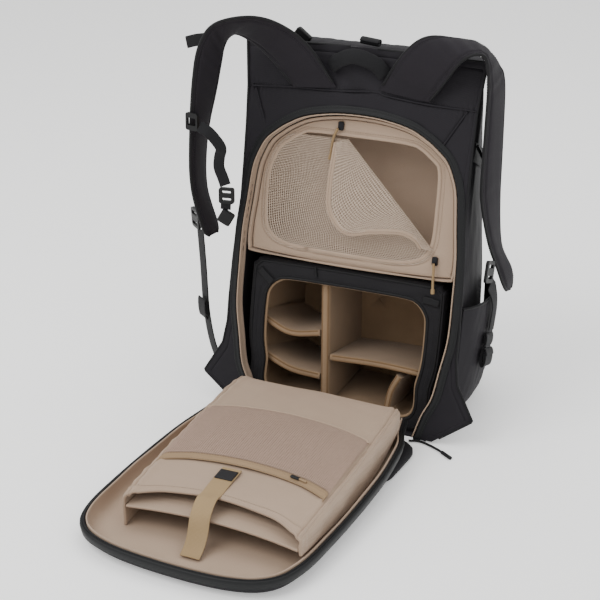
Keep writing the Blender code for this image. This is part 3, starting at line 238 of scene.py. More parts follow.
def placed(name, data, finish):
    """The mesh data as a smooth-shaded object of one finish, linked into the scene."""
    data.shade_smooth()
    data.materials.append(finish)
    made = bpy.data.objects.new(name, data)
    bpy.context.scene.collection.objects.link(made)
    return made


def lay_wall(made, wall):
    """A wall laid evenly on both sides of a piece's surface."""
    thick = made.modifiers.new("cloth thickness", "SOLIDIFY")
    thick.thickness = wall
    thick.offset = 0.0
    thick.use_even_offset = False


WELD = 2e-6


def cloth_mesh(name, points, finish, wall=0.0, round_rows=False, round_columns=False, cap=False, rim=0.0):
    """A grid of points as a mesh: quads between neighbours, wrapped round where it closes. Its UV map
    is each row's and column's running length in metres, and it may get a wall and soft edges."""
    rows, columns = points.shape[:2]
    step_rows = rows if round_rows else rows - 1
    step_columns = columns if round_columns else columns - 1
    r, c = np.meshgrid(np.arange(step_rows), np.arange(step_columns), indexing="ij")
    row, next_row = r * columns, ((r + 1) % rows) * columns
    next_c = (c + 1) % columns
    corners = np.stack([row + c, row + next_c, next_row + next_c, next_row + c], axis=-1)
    down = np.linalg.norm(np.diff(points, axis=0, append=points[:1]), axis=2).mean(axis=1)
    over = np.linalg.norm(np.diff(points, axis=1, append=points[:, :1]), axis=2).mean(axis=0)
    v = np.concatenate([[0.0], np.cumsum(down)])
    u = np.concatenate([[0.0], np.cumsum(over)])
    flat = np.stack([np.stack([u[c], v[r]], -1), np.stack([u[c + 1], v[r]], -1),
                     np.stack([u[c + 1], v[r + 1]], -1), np.stack([u[c], v[r + 1]], -1)], axis=2)
    data = quad_mesh(name, points, corners, flat)
    work = bmesh.new()
    work.from_mesh(data)
    if cap:
        work.verts.ensure_lookup_table()
        for start in (0, (rows - 1) * columns):
            work.faces.new([work.verts[start + k] for k in range(columns)])
    bmesh.ops.remove_doubles(work, verts=work.verts, dist=WELD)
    bmesh.ops.dissolve_degenerate(work, dist=1e-7, edges=work.edges)
    bmesh.ops.recalc_face_normals(work, faces=work.faces)
    work.to_mesh(data)
    work.free()
    made = placed(name, data, finish)
    data.set_sharp_from_angle(angle=math.radians(55))
    if wall:
        lay_wall(made, wall)
    if rim:
        edge = made.modifiers.new("soft edge", "BEVEL")
        edge.width = rim
        edge.segments = 2
        edge.limit_method = "ANGLE"
        edge.angle_limit = math.radians(60)
    return made


def dress(piece, slot, *nodes):
    """The piece rides on the bag's one body and stands for its solids, which are hidden; its slot is not
    used.
    """
    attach(piece, "root")
    if nodes:
        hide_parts(*nodes)
    return piece


def coloured(tree, shader, share, dark, light):
    """The shader's colour mixed from a dark to a light one by a share."""
    colour = add(tree, "ShaderNodeMix", {"data_type": "RGBA"}, i0=share, i6=dark, i7=light)
    tree.links.new(colour.outputs[2], shader.inputs["Base Color"])


def raised(tree, shader, height, strength, distance):
    """The shader's surface raised by a height pattern."""
    relief = add(tree, "ShaderNodeBump", Strength=strength, Distance=distance, Height=height)
    tree.links.new(relief.outputs[0], shader.inputs["Normal"])


BLOTCH = 0.10


def woven(name, base, shade, thread, roughness, bump=0.25, sheen=0.02, twill=False):
    """Woven cloth: two crossed sine ridges a thread apart for warp and weft, or one slanted ridge for a
    twill, a broad noise that shades it a little, and a bump from the threads."""
    made, tree, shader = blank(name)
    place = add(tree, "ShaderNodeUVMap", {"uv_map": "cloth"}).outputs["UV"]
    pitch = 2 * math.pi / thread / 20
    slant = math.radians(45) if twill else 0.0
    ridges = []
    for direction in ("X", "Y"):
        turned = add(tree, "ShaderNodeMapping", Vector=place, Rotation=(0.0, 0.0, slant))
        wave = add(tree, "ShaderNodeTexWave", {"bands_direction": direction}, Vector=turned.outputs[0],
                   Scale=pitch, Distortion=0.0)
        ridges.append(wave.outputs["Fac"])
    if twill:
        weave = ridges[0]
    else:
        weave = add(tree, "ShaderNodeMath", {"operation": "MULTIPLY"}, i0=ridges[0], i1=ridges[1]).outputs[0]
    broad = add(tree, "ShaderNodeTexNoise", Vector=place, Scale=14.0, Detail=3.0)
    grit = add(tree, "ShaderNodeTexNoise", Vector=place, Scale=900.0, Detail=2.0)
    share = add(tree, "ShaderNodeMath", {"operation": "MULTIPLY_ADD"},
                i0=broad.outputs["Fac"], i1=BLOTCH * 4, i2=-BLOTCH * 2)
    mixed = add(tree, "ShaderNodeMath", {"operation": "MULTIPLY_ADD", "use_clamp": True},
                i0=weave, i1=0.55, i2=share.outputs[0])
    grained = add(tree, "ShaderNodeMath", {"operation": "MULTIPLY_ADD", "use_clamp": True},
                  i0=grit.outputs["Fac"], i1=0.35, i2=mixed.outputs[0])
    coloured(tree, shader, grained.outputs[0], linear(shade), linear(base))
    raised(tree, shader, grained.outputs[0], bump, 0.0006)
    shader.inputs["Roughness"].default_value = roughness
    shader.inputs["Sheen Weight"].default_value = sheen
    shader.inputs["Sheen Roughness"].default_value = 0.5
    shader.inputs["Specular IOR Level"].default_value = 0.22
    return made


# 420-denier nylon: threads about 0.5 mm apart, drawn 1.1 mm apart so that they show
SHELL_NYLON = woven("black_woven_nylon", "221F24", "151317", 0.0011, 0.72)


def frame_lines(count):
    """Opening and panel outlines, left foot to right foot: a Catmull-Rom curve for the opening and
    straight runs for the panel, both read at the same stations, evened out along the opening."""
    half = OUTLINE * np.array([-OPENING_HALF, OPENING_LENGTH, -PANEL_HALF, PANEL_LENGTH])
    whole = mirrored(half)
    fine = smooth_line(whole[:, :2], 4000)
    place = np.linspace(0, len(whole) - 1, 4000)
    stations = np.arange(len(whole))
    run = running(fine) + running(read_at(place, stations, whole[:, 2:]))
    at = np.interp(np.linspace(0, run[-1], count), run, place)
    return read_at(at, place, fine), read_at(at, stations, whole[:, 2:])


def inward(line, distance):
    """A flat outline moved sideways towards its own inside by a distance."""
    along = unit(np.gradient(line, axis=0))
    return line + np.stack([along[:, 1], -along[:, 0]], axis=1) * distance


def near_segment(x, s, a, b):
    """Distance of points from a straight seam between two points of the face."""
    a = np.array(a)
    b = np.array(b)
    along = b - a
    t = np.clip(((x - a[0]) * along[0] + (s - a[1]) * along[1]) / (along @ along), 0, 1)
    return np.hypot(x - a[0] - t * along[0], s - a[1] - t * along[1])


YOKE_SEAM = np.array([(-0.158, 0.451), (-0.098, 0.455), (-0.028, 0.457), (0.021, 0.461), (0.040, 0.457),
                      (0.098, 0.452), (0.150, 0.451), (0.162, 0.450)])


def panel_relief(x, s, from_hem):
    """How far the rear panel stands out: stitched-in grooves along its seams, puckers beside them and
    soft slack between the strap roots."""
    yoke = np.interp(x, YOKE_SEAM[:, 0], YOKE_SEAM[:, 1])
    groove = -0.0016 * bell(s, yoke, 0.0020)
    for seam in (((0.150, 0.451), (0.117, 0.395)), ((-0.152, 0.451), (-0.136, 0.411))):
        groove = groove - 0.0014 * bell(near_segment(x, s, *seam), 0.0, 0.0020)
    groove = groove - 0.0012 * bell(from_hem, 0.010, 0.0017)
    pucker = 0.0006 * np.sin(x * 900) * bell(s, yoke, 0.010)
    slack = 0.0022 * ripple(x * 1.4, s, 0.4, 34.0) * ramp(s, 0.38, 0.08)
    tug = 0.0020 * np.sin((x + s) * 95) * bell(s, 0.480, 0.022) * np.exp(-(x / 0.09) ** 4)
    return groove + pucker + slack + tug + 0.0006 * ripple(x, s, 1.9, 80.0)


opening_line, panel_line = frame_lines(421)
across = np.linspace(0, 1, 57) ** 0.9
flat = opening_line[None] * (1 - across)[:, None, None] + panel_line[None] * across[:, None, None]
from_hem = (1 - across)[:, None] * np.linalg.norm(panel_line - opening_line, axis=1)[None]
relief = panel_relief(flat[..., 0], flat[..., 1], from_hem) * ramp(across, 0.0, 0.06)[:, None]
rear_panel = cloth_mesh("rear_panel", on_face(flat[..., 0], flat[..., 1], relief - FRAME_WALL / 2),
                        SHELL_NYLON, FRAME_WALL, rim=0.0012)
dress(rear_panel, "shell_nylon", "back_frame")
# Black polyester binding and piping, a little darker and smoother than the nylon
BINDING_BLACK = woven("black_binding_tape", "151417", "0D0D0E", 0.0012, 0.6)


UP = (0.0, 0.0, 1.0)
OUTWARD = (0.0, -1.0, 0.2)
REAR = (0.0, -math.cos(LEAN), math.sin(LEAN))


def tube(name, line, radius, finish, slot, node, sides=10, flat=1.0, up=UP):
    """A round or flattened cord, dressed: rings round a line, square to it, closed at both ends."""
    line = np.asarray(line, float)
    along = unit(np.gradient(line, axis=0))
    side = unit(np.cross(along, np.broadcast_to(np.asarray(up, float), line.shape)))
    top = np.cross(side, along)
    angle = np.linspace(0, 2 * math.pi, sides, endpoint=False)
    radius = np.broadcast_to(np.asarray(radius, float), len(line))[:, None, None]
    rings = (line[:, None] + radius * (side[:, None] * np.cos(angle)[None, :, None]
                                       + top[:, None] * np.sin(angle)[None, :, None] * flat))
    return dress(cloth_mesh(name, rings, finish, round_columns=True, cap=True), slot, node)


STITCH_PITCH = 0.0036
STITCH_LENGTH = 0.0024
STITCH_WIDTH = 0.0006


def stitches(name, line, up, finish, slot, node):
    """A row of stitches along a line: at every pitch a short thread, six-sided and raised in its
    middle, standing off the surface along the up vectors."""
    line = np.asarray(line, float)
    run = running(line)
    at = np.arange(STITCH_PITCH / 2, run[-1] - STITCH_PITCH / 2, STITCH_PITCH)
    middle = read_at(at, run, line)
    tangent = unit(read_at(at, run, np.gradient(line, axis=0)))
    up = unit(np.broadcast_to(np.asarray(up, float), middle.shape))
    side = np.cross(tangent, up)
    angle = np.radians(np.arange(0, 360, 60))
    rings = []
    for share, thick in ((-0.5, 0.35), (-0.25, 0.9), (0.25, 0.9), (0.5, 0.35)):
        lift = STITCH_WIDTH * 0.35 * (1 if thick > 0.5 else -0.4)
        centre = middle + tangent * STITCH_LENGTH * share + up * lift
        around = side[:, None] * np.cos(angle)[None, :, None] + up[:, None] * np.sin(angle)[None, :, None]
        rings.append(centre[:, None] + STITCH_WIDTH / 2 * thick * around)
    points = np.stack(rings, axis=1).reshape(-1, 3)
    k = np.arange(6)
    turn = (k + 1) % 6
    quads = np.concatenate([np.stack([k, turn, 6 + turn, 6 + k], -1) + r * 6 for r in range(3)])
    faces = (np.arange(len(at))[:, None, None] * 24 + quads[None]).reshape(-1, 4)
    data = quad_mesh(name, points, faces, np.zeros((len(faces), 8)))
    return dress(placed(name, data, finish), slot, node)


# Twisted polyester thread, lighter than the cloth so that the stitches show
DARK_THREAD = woven("dark_sewing_thread", "2B292D", "1C1B1E", 0.0012, 0.6)
yoke = smooth_line(YOKE_SEAM, 120)
ON_PANEL = ("shell_nylon", "back_frame")
SEAM_FOLD = 0.0013
tube("yoke_seam_fold", on_face(yoke[:, 0], yoke[:, 1] + 0.0016, 0.0002), SEAM_FOLD, SHELL_NYLON, *ON_PANEL,
     8, 0.7, REAR)
stitches("yoke_stitches", on_face(yoke[:, 0], yoke[:, 1] + 0.0050, 0.0001), REAR, DARK_THREAD, *ON_PANEL)
for side, a, b in (("left", (-0.152, 0.450), (-0.134, 0.403)), ("right", (0.150, 0.450), (0.117, 0.395))):
    seam = np.linspace(a, b, 40)
    tube(side + "_corner_seam_fold", on_face(*seam.T, 0.0002), SEAM_FOLD, SHELL_NYLON, *ON_PANEL,
         8, 0.7, REAR)
for side, part in (("left", slice(3, 205)), ("right", slice(216, 418))):
    edge = even_line(panel_line[part], 200)
    tube(side + "_panel_piping", on_face(*edge.T, -0.0008), 0.0019, BINDING_BLACK, *ON_PANEL, 8, 1.0, REAR)

# Main zip on the opening's margin: a reversed coil under satin coated tape, which shows as a smooth
# dark roll with a stitched flange outside it.


def plain(name, base, roughness, metallic=0.0, grain=0.0002):
    """A plain moulded, coated or drawn surface: one colour that a fine noise shades and roughens."""
    made, tree, shader = blank(name)
    place = add(tree, "ShaderNodeTexCoord").outputs["Object"]
    noise = add(tree, "ShaderNodeTexNoise", Vector=place, Scale=0.16 / grain, Detail=3.0)
    dark = tuple(0.72 * c for c in linear(base)[:3]) + (1.0,)
    coloured(tree, shader, noise.outputs["Fac"], dark, linear(base))
    rough = add(tree, "ShaderNodeMath", {"operation": "MULTIPLY_ADD"},
                i0=noise.outputs["Fac"], i1=0.16, i2=roughness - 0.08)
    tree.links.new(rough.outputs[0], shader.inputs["Roughness"])
    raised(tree, shader, noise.outputs["Fac"], 0.12, 0.0002)
    shader.inputs["Metallic"].default_value = metallic
    shader.inputs["Specular IOR Level"].default_value = 0.25
    return made


# Nylon tape with a polyurethane film, smoother and darker than the cloth round it
COATED_TAPE = plain("coated_zip_tape", "141516", 0.55)


def carried(line, profile, lift=on_face):
    """A closed profile carried along an outline: each profile point is a distance outside the outline
    and a height out of the face."""
    return np.stack([lift(*inward(line, -d).T, n) for d, n in profile], axis=0)


zip_line = frame_lines(361)[0]
turn = np.linspace(0, 2 * math.pi, 9)[:-1]
coil = [(0.0024 + 0.0019 * math.cos(a), 0.0016 + 0.0012 * math.sin(a)) for a in turn[:5]]
flange = [(0.0100, 0.0004), (0.0102, 0.0010), (0.0097, 0.0013), (0.0060, 0.0012)]
zip_profile = flange + coil + [(0.0008, 0.0004)]
opening_zip = cloth_mesh("opening_zip_tape", carried(zip_line, zip_profile), COATED_TAPE, round_rows=True)
dress(opening_zip, "coated_zip_tape", "opening_zip")
stitches("opening_zip_stitches", carried(zip_line, [(0.0084, 0.0015)])[0], REAR, DARK_THREAD,
         "coated_zip_tape", "opening_zip")

# Binding tape over the opening's inner edge: a band of beige coated polyester, folded lengthwise. It is
# sewn on beside the zip and turns in from it, with small puckers from the sewing.
BINDING_DEPTH = 0.012
BINDING_IN = 2 * GAP + 0.0008
# The beige lining cloth, polyester with a matt coating: a fine weave and a faint sheen
BEIGE_LINING = woven("beige_coated_lining", "B39E8A", "957F6C", 0.0009, 0.62, bump=0.16, sheen=0.1)


SLIMMEST = 0.011


def held(piece, slot, node, how="stretched"):
    """A cloth piece dressed and standing for its solid. The flat size of its cut is worked out from the
    running lengths in its UV map and the area of its faces, but it is not kept."""
    dress(piece, slot, node)
    map_uv = np.empty(len(piece.data.loops) * 2, dtype=np.float32)
    piece.data.uv_layers["cloth"].data.foreach_get("uv", map_uv)
    width, length = map_uv.reshape(-1, 2).max(axis=0).astype(float)
    faces = np.empty(len(piece.data.polygons), dtype=np.float32)
    piece.data.polygons.foreach_get("area", faces)
    area = float(faces.sum())
    width = max(SLIMMEST, min(width, area / (0.35 * length)))
    length = max(length, SLIMMEST, area / width)
    return piece


def refine(rows, count_rows, count_columns, closed=False):
    """A coarse grid of points read finely by Catmull-Rom curves down its rows and then along them."""
    rows = np.asarray(rows, float)
    down = smooth_line(rows.reshape(len(rows), -1), count_rows).reshape(count_rows, -1, 3)
    over = down.transpose(1, 0, 2)
    if closed:
        over = np.concatenate([over[-2:], over, over[:3]])
        fine = (count_columns * (len(over) - 1)) // (len(over) - 5) + 1
        line = smooth_line(over.reshape(len(over), -1), fine * 4)
        place = np.linspace(0, len(over) - 1, fine * 4)
        want = 2 + np.arange(count_columns) * (len(over) - 5) / count_columns
        return read_at(want, place, line).reshape(count_columns, count_rows, 3).transpose(1, 0, 2)
    line = smooth_line(over.reshape(len(over), -1), count_columns)
    return line.reshape(count_columns, count_rows, 3).transpose(1, 0, 2)


def lifted(points, height, side=1.0):
    """A grid moved along its own normals, the cross product of its row and column directions."""
    normal = unit(np.cross(np.gradient(points, axis=0), np.gradient(points, axis=1))) * side
    return points + normal * np.asarray(height)[..., None]


def shares(rows, columns):
    """Row share and column share of a grid, each from 0 to 1, as two arrays."""
    return np.meshgrid(np.linspace(0, 1, rows), np.linspace(0, 1, columns), indexing="ij")


binding_profile = [(-BINDING_IN, 0.0030), (-BINDING_IN, -0.002), (-BINDING_IN, -0.006),
                   (-BINDING_IN - 0.0012, -0.012)]
binding = refine(carried(zip_line, binding_profile), 9, 361)
binding[..., 2] = np.maximum(binding[..., 2], 0.0055)
v, u = shares(9, 361)
binding = lifted(binding, 0.0004 * np.sin(u * 700) * np.sin(math.pi * v))
held(cloth_mesh("opening_binding_tape", binding, BEIGE_LINING, 0.0014), "beige_lining", "opening_binding")

# Bag body: floor, sides, front and roof in the same nylon over thin foam, with a gusset ridge behind
# the rear panel on each side, low puckers, and seams between sides and front.
BODY_HEIGHT = 0.486
BODY_FRONT_HALF = 0.130
BODY_FRONT_Y = 0.126
SHELL_WALL = 0.004
CORNER_START = 0.76

# Height share, rear half-width share, front half-width share, front depth share, side bulge share
BODY = np.array([
    (0.00, 0.830, 0.800, 0.860, 0.00), (0.02, 0.890, 0.920, 0.980, 0.01), (0.09, 0.945, 0.990, 1.060, 0.02),
    (0.19, 0.965, 1.010, 1.060, 0.03), (0.34, 0.968, 1.010, 0.990, 0.04), (0.49, 0.963, 1.000, 0.890, 0.05),
    (0.62, 0.945, 0.990, 0.810, 0.05), (0.78, 0.938, 0.980, 0.770, 0.04), (0.93, 0.945, 0.970, 0.740, 0.03),
    (0.985, 0.940, 0.950, 0.700, 0.02), (1.000, 0.900, 0.900, 0.640, 0.00),
])


def rear_y(z):
    """Where the rear face is at a height."""
    return REAR_FOOT_Y + z * math.tan(LEAN)


def body_value(column, z):
    """A column of the body table read at a height."""
    return np.interp(z / BODY_HEIGHT, BODY[:, 0], BODY[:, column])


def side_point(k, z, out):
    """A point out from the right side by a distance, at share k of the way from rear to front."""
    rear = body_value(1, z) * PANEL_HALF
    front = body_value(2, z) * BODY_FRONT_HALF
    back = rear_y(z) + 0.0068 / math.cos(LEAN)
    half = rear + (front - rear) * k + body_value(4, z) * PANEL_HALF * 4 * k * (1 - k)
    return np.array([half + out, back + (body_value(3, z) * BODY_FRONT_Y - back) * k, z])


def body_ring(z):
    """The middle of the wall round the body at a height, right rear edge to left rear edge."""
    side = [side_point(k, z, -SHELL_WALL / 2) for k in np.linspace(0, CORNER_START, 5)]
    flat = body_value(2, z) * BODY_FRONT_HALF * 0.72
    front = body_value(3, z) * BODY_FRONT_Y - SHELL_WALL / 2
    x, y, _ = side[-1]
    corner = [np.array([flat + (x - flat) * math.cos(a), y + (front - y) * math.sin(a), z])
              for a in np.radians((30, 60, 90))]
    right = np.array(side + corner + [np.array([flat * 0.45, front + 0.004, z])])
    return np.concatenate([right, right[::-1] * np.array([-1.0, 1.0, 1.0])])


heights = np.clip(BODY[:, 0] * BODY_HEIGHT, SHELL_WALL / 2, BODY_HEIGHT - SHELL_WALL / 2)
walls = refine([body_ring(z) for z in heights], 120, 220)
v, u = shares(120, 220)
edge = np.minimum(u, 1 - u)
ridge = 0.0045 * bell(edge, 0.045, 0.014) * ramp(v, 0.55, 0.2)
seam = -0.0018 * bell(edge, 0.345, 0.004) - 0.0012 * bell(v, 0.09, 0.006)
puff = 0.0014 * ripple(u * 7, v * 3.2, 2.2, 3.0) + 0.0005 * ripple(u * 7, v * 3.2, 0.7, 14.0)
hold = ramp(edge, 0.0, 0.02) * ramp(np.minimum(v, 1 - v), 0.0, 0.03)
walls = lifted(walls, (ridge + seam + puff) * hold, -1.0)
shrinking = (0.97, 0.9, 0.6, 0.3, 0.002)
above, below = ([(line[0] + line[-1]) / 2 + (line - (line[0] + line[-1]) / 2) * k for k in shrinking]
                for line in (walls[-1], walls[0]))
body = cloth_mesh("bag_body", np.concatenate([below[::-1], walls, above]), SHELL_NYLON, SHELL_WALL)
dress(body, "shell_nylon", "body_shell")

# Rolled top: the closure folded flat on itself across the roof, with a seam along its upper side
# and its ends pinched down.
ROLL_WIDTH = 0.040
ROLL_HEIGHT = 0.016
ROLL_Z = BODY_HEIGHT + ROLL_HEIGHT / 2 + 0.0022


def squared(wave, power):
    """A sine or cosine raised to a power with its sign kept, which squares the oval that it draws."""
    return np.sign(wave) * np.abs(wave) ** power


roll_x = np.linspace(-0.86, 0.86, 130) * PANEL_HALF
roll_turn = np.linspace(0, 2 * math.pi, 56, endpoint=False)
a, t = np.meshgrid(roll_x, roll_turn, indexing="ij")
pinch = 1 - 0.35 * np.abs(a / roll_x[-1]) ** 8
fold = 0.86 * bell((t - math.radians(205) + math.pi) % (2 * math.pi), math.pi, 0.16)
depth = ROLL_WIDTH / 2 * squared(np.cos(t), 0.75) * (1 - 0.14 * fold)
rise = ROLL_HEIGHT / 2 * squared(np.sin(t), 0.75) * pinch * (1 - 0.05 * fold)
groove = 0.0010 * bell(t, math.radians(62), 0.05)
wave = 0.0012 * ripple(a, t * 0.02, 1.1, 60.0) + 0.0007 * ripple(a, t * 0.02, 2.1, 180.0)
rise = rise + wave * np.clip(np.sin(t), 0, 1) - groove
roll = np.stack([a, 0.012 + depth + wave * np.cos(t), ROLL_Z + rise - 0.003 * (a / roll_x[-1]) ** 6], axis=-1)
roll_top = cloth_mesh("rolled_top", roll, SHELL_NYLON, round_columns=True, cap=True)
dress(roll_top, "shell_nylon", "roll_top")

# Upper compartment: a beige coated cup behind the arch, whose slack floor and back show soft folds,
# and the panel across it that carries the window.
LINING_WALL = 0.0016
INSET = 0.008
COMPARTMENT_FLOOR = 0.2235
COMPARTMENT_DEPTH = 0.088
half_line = OUTLINE * np.array([-OPENING_HALF, OPENING_LENGTH, -PANEL_HALF, PANEL_LENGTH])


def closed_inward(loop, distance):
    """A closed outline that runs clockwise, moved inwards by a distance."""
    along = unit(np.roll(loop, -1, axis=0) - np.roll(loop, 1, axis=0))
    return loop + np.stack([along[:, 1], -along[:, 0]], axis=1) * distance


def compartment_loop(inset):
    """The compartment's closed outline: a slack floor, round lower corners and the opening's arch."""
    arch = half_line[half_line[:, 1] > COMPARTMENT_FLOOR + 0.03][:, :2]
    foot = np.array([(-0.45, -0.003), (-0.90, 0.001), (-0.985, 0.012)])
    foot = np.stack([foot[:, 0] * OPENING_HALF, COMPARTMENT_FLOOR - INSET + foot[:, 1]], axis=1)
    left = np.concatenate([foot, arch])
    loop = np.concatenate([mirrored(left), [(0.0, COMPARTMENT_FLOOR - INSET - 0.004)]])
    return closed_inward(loop, inset)


flange = compartment_loop(BINDING_IN + 0.0008 + LINING_WALL / 2 + 0.0018)
flange[:, 1] = np.maximum(flange[:, 1], COMPARTMENT_FLOOR - 0.001)
mouth = compartment_loop(INSET)
deep = closed_inward(mouth, 0.012)
stages = ((flange, -BINDING_DEPTH + 0.002), (mouth, -BINDING_DEPTH - 0.002),
          (mouth, -COMPARTMENT_DEPTH * 0.5), (deep, -COMPARTMENT_DEPTH))
cup = refine([on_face(*loop.T, n) for loop, n in stages], 26, 200, closed=True)
centre = cup[-1].mean(axis=0)
back = [centre + (cup[-1] - centre) * k for k in (0.97, 0.92, 0.8, 0.65, 0.5, 0.35, 0.2, 0.1, 0.004)]
cup = np.concatenate([cup, back])
v, u = shares(*cup.shape[:2])
cup[..., 1] += 0.0022 * ripple(cup[..., 0], cup[..., 2], 0.9, 45.0) * ramp(v, 0.72, 0.1)
liner = cloth_mesh("compartment_lining", cup, BEIGE_LINING, LINING_WALL, round_columns=True)
held(liner, "beige_lining", "compartment_liner")

# Panel across the compartment: the same coated lining on a thin stiffener, sewn in just behind the
# zip, with a squarish window cut out and a stitched hem round it.
WINDOW_MIDDLE = np.array([-0.0065, 0.318])
WINDOW_A = 0.1245
WINDOW_B = 0.082
SQUARENESS = 5.0
WINDOW_HEM = 0.009
FRONT_N = -BINDING_DEPTH - 0.0045


def window_reach(direction, loop):
    """The rounded window's outline point in each direction: a squarish oval held inside the panel."""
    reach = ((np.abs(np.cos(direction)) / WINDOW_A) ** SQUARENESS
             + (np.abs(np.sin(direction)) / WINDOW_B) ** SQUARENESS) ** (-1 / SQUARENESS)
    return np.minimum(reach, np.linalg.norm(loop - WINDOW_MIDDLE, axis=1) - WINDOW_HEM)


def dense(loop, count=200):
    """A closed outline read finely by a Catmull-Rom curve."""
    return refine([np.c_[loop, np.zeros(len(loop))]] * 2, 2, count, closed=True)[0, :, :2]


front_loop = closed_inward(mouth, LINING_WALL + 2 * GAP)
fine_loop = dense(front_loop, 240)
facing = np.arctan2(*(fine_loop - WINDOW_MIDDLE).T[::-1])
reach = window_reach(facing, fine_loop)
window_loop = WINDOW_MIDDLE + reach[:, None] * np.stack([np.cos(facing), np.sin(facing)], axis=1)
between = np.linspace(0, 1, 18)[:, None, None]
flat = fine_loop[None] * (1 - between) + window_loop[None] * between
hem = -0.0005 * bell(np.linalg.norm(flat - window_loop[None], axis=2), 0.006, 0.0012)
slack = 0.0007 * ripple(flat[..., 0], flat[..., 1], 1.3, 120.0) * np.sin(math.pi * between[..., 0])
front = on_face(flat[..., 0], flat[..., 1], FRONT_N + hem + slack)
held(cloth_mesh("compartment_window_panel", front, BEIGE_LINING, LINING_WALL, round_columns=True),
     "beige_lining", "compartment_front")

# Netting of the window: knitted beige polyester, zipped in round the window and bound along its free
# edge. It is unzipped at the upper right and folded back over itself. The real holes are about 2.9 mm
# apart and are drawn coarser, 3.6 mm apart, so that they show.

# Free edge of the folded flap from its foot up: shares of the window's half-width and half-height
# from its middle, and how far the flap stands off there
FLAP_EDGE = np.array([
    (0.86, -0.64, 0.003), (0.78, -0.50, 0.008), (0.62, -0.43, 0.012), (0.32, -0.48, 0.014),
    (0.10, -0.55, 0.015), (-0.04, -0.48, 0.016), (-0.17, -0.22, 0.015), (-0.20, 0.18, 0.011),
    (-0.19, 0.62, 0.007), (-0.19, 0.82, 0.003),
])
FOLD_FOOT = np.array([0.955, -0.66])
FOLD_HEAD = np.array([-0.085, 0.88])
NET_N = FRONT_N + LINING_WALL / 2 + GAP + 0.0006
FLAT = np.array([WINDOW_A + 0.004, WINDOW_B + 0.004])
NET_PITCH = 0.0036
NET_THREAD = 0.00065

# Soft matt yarn, a shade lighter than the lining behind it
NETTING = plain("beige_knitted_net", "C6B29F", 0.8, grain=0.0008)


def window_half(v):
    """Half-width of the rounded window at a height share from its middle."""
    return (1 - np.clip(np.abs(v), 0, 0.9999) ** SQUARENESS) ** (1 / SQUARENESS)


def knitted(name, points, pitch, thread, finish):
    """Netting over a surface: the grid is read again at the pitch, each cell becomes an eight-sided
    ring of thread round an oval hole, and a wall is laid on it."""
    down = np.linalg.norm(np.diff(points, axis=0), axis=2).sum(axis=0).max()
    over = np.linalg.norm(np.diff(points, axis=1), axis=2).sum(axis=1).max()
    rows, columns = max(2, round(down / pitch)), max(2, round(over / pitch))
    grid = refine(points, rows * 2 + 1, columns * 2 + 1)
    centre = grid[1::2, 1::2]
    ring = [grid[:-1:2, :-1:2], grid[:-1:2, 1::2], grid[:-1:2, 2::2], grid[1::2, 2::2],
            grid[2::2, 2::2], grid[2::2, 1::2], grid[2::2, :-1:2], grid[1::2, :-1:2]]
    shrink = 1 - thread / pitch * np.array([1.75, 1.0] * 4)
    outer = np.stack(ring, axis=2)
    inner = centre[:, :, None] + (outer - centre[:, :, None]) * shrink[None, None, :, None]
    block = np.concatenate([outer, inner], axis=2).reshape(-1, 3)
    cells = rows * columns
    k = np.arange(8)
    quad = np.stack([k, (k + 1) % 8, 8 + (k + 1) % 8, 8 + k], axis=-1)
    faces = (np.arange(cells)[:, None, None] * 16 + quad[None]).reshape(-1, 4)
    row, column = np.divmod(faces // 16, columns)
    data = quad_mesh(name, block, faces, np.stack([column * pitch, row * pitch], axis=-1))
    work = bmesh.new()
    work.from_mesh(data)
    bmesh.ops.remove_doubles(work, verts=work.verts, dist=WELD)
    bmesh.ops.recalc_face_normals(work, faces=work.faces)
    work.to_mesh(data)
    work.free()
    made = placed(name, data, finish)
    lay_wall(made, thread * 0.5)
    return made


arch_top = len(front_loop) // 2
net_rows = []
flap_rows = []
for v in np.linspace(-0.985, FOLD_HEAD[1], 30):
    f = np.clip((v - FOLD_FOOT[1]) / (FOLD_HEAD[1] - FOLD_FOOT[1]), 0, 1)
    fold_x = window_half(v) if v < FOLD_FOOT[1] else FOLD_FOOT[0] + (FOLD_HEAD[0] - FOLD_FOOT[0]) * f
    arch = np.interp(WINDOW_MIDDLE[1] + v * FLAT[1], front_loop[3:arch_top, 1], front_loop[3:arch_top, 0])
    left = max(-window_half(v), (arch + 0.004 - WINDOW_MIDDLE[0]) / FLAT[0])
    net_rows.append([(left + (fold_x - left) * k, v, 0.0) for k in np.linspace(0, 1, 24)])
for f in np.linspace(0, 1, 24):
    fold = FOLD_FOOT + (FOLD_HEAD - FOLD_FOOT) * f
    free = smooth_line(FLAP_EDGE, 24)[round(f * 23)]
    line = [(*fold, 0.0), (*(fold + 0.012), 0.0022)]
    for k in np.linspace(0, 1, 12):
        lift = 0.0044 + free[2] * k + 0.004 * math.sin(math.pi * k) + 0.0015 * math.sin(f * 11 + k * 3) * k
        line.append((*(fold + (free[:2] - fold) * k), lift))
    flap_rows.append(line)


def on_window(rows):
    """Rows of window shares and stand-offs as points of the rear face."""
    p = np.array(rows)
    flat = WINDOW_MIDDLE + p[..., :2] * FLAT
    return on_face(flat[..., 0], flat[..., 1], NET_N + p[..., 2])


net = on_window(net_rows)
held_at_sides = np.sin(np.linspace(0, math.pi, 24))[None]
net[..., 1] += 0.0014 * ripple(net[..., 0], net[..., 2], 0.5, 38.0) * held_at_sides
held(knitted("window_net", net, NET_PITCH, NET_THREAD, NETTING), "beige_netting", "mesh_panel")
held(knitted("window_net_flap", on_window(flap_rows), NET_PITCH, NET_THREAD, NETTING),
     "beige_netting", "mesh_panel", "folded")


def looped(line):
    """A closed line with its first two points again at its end, so that a tube along it meets itself."""
    return np.concatenate([line, line[:2]])


def scaled(loop, share):
    """A closed outline scaled about the mean of its points."""
    middle = loop.mean(axis=0)
    return middle + (loop - middle) * share


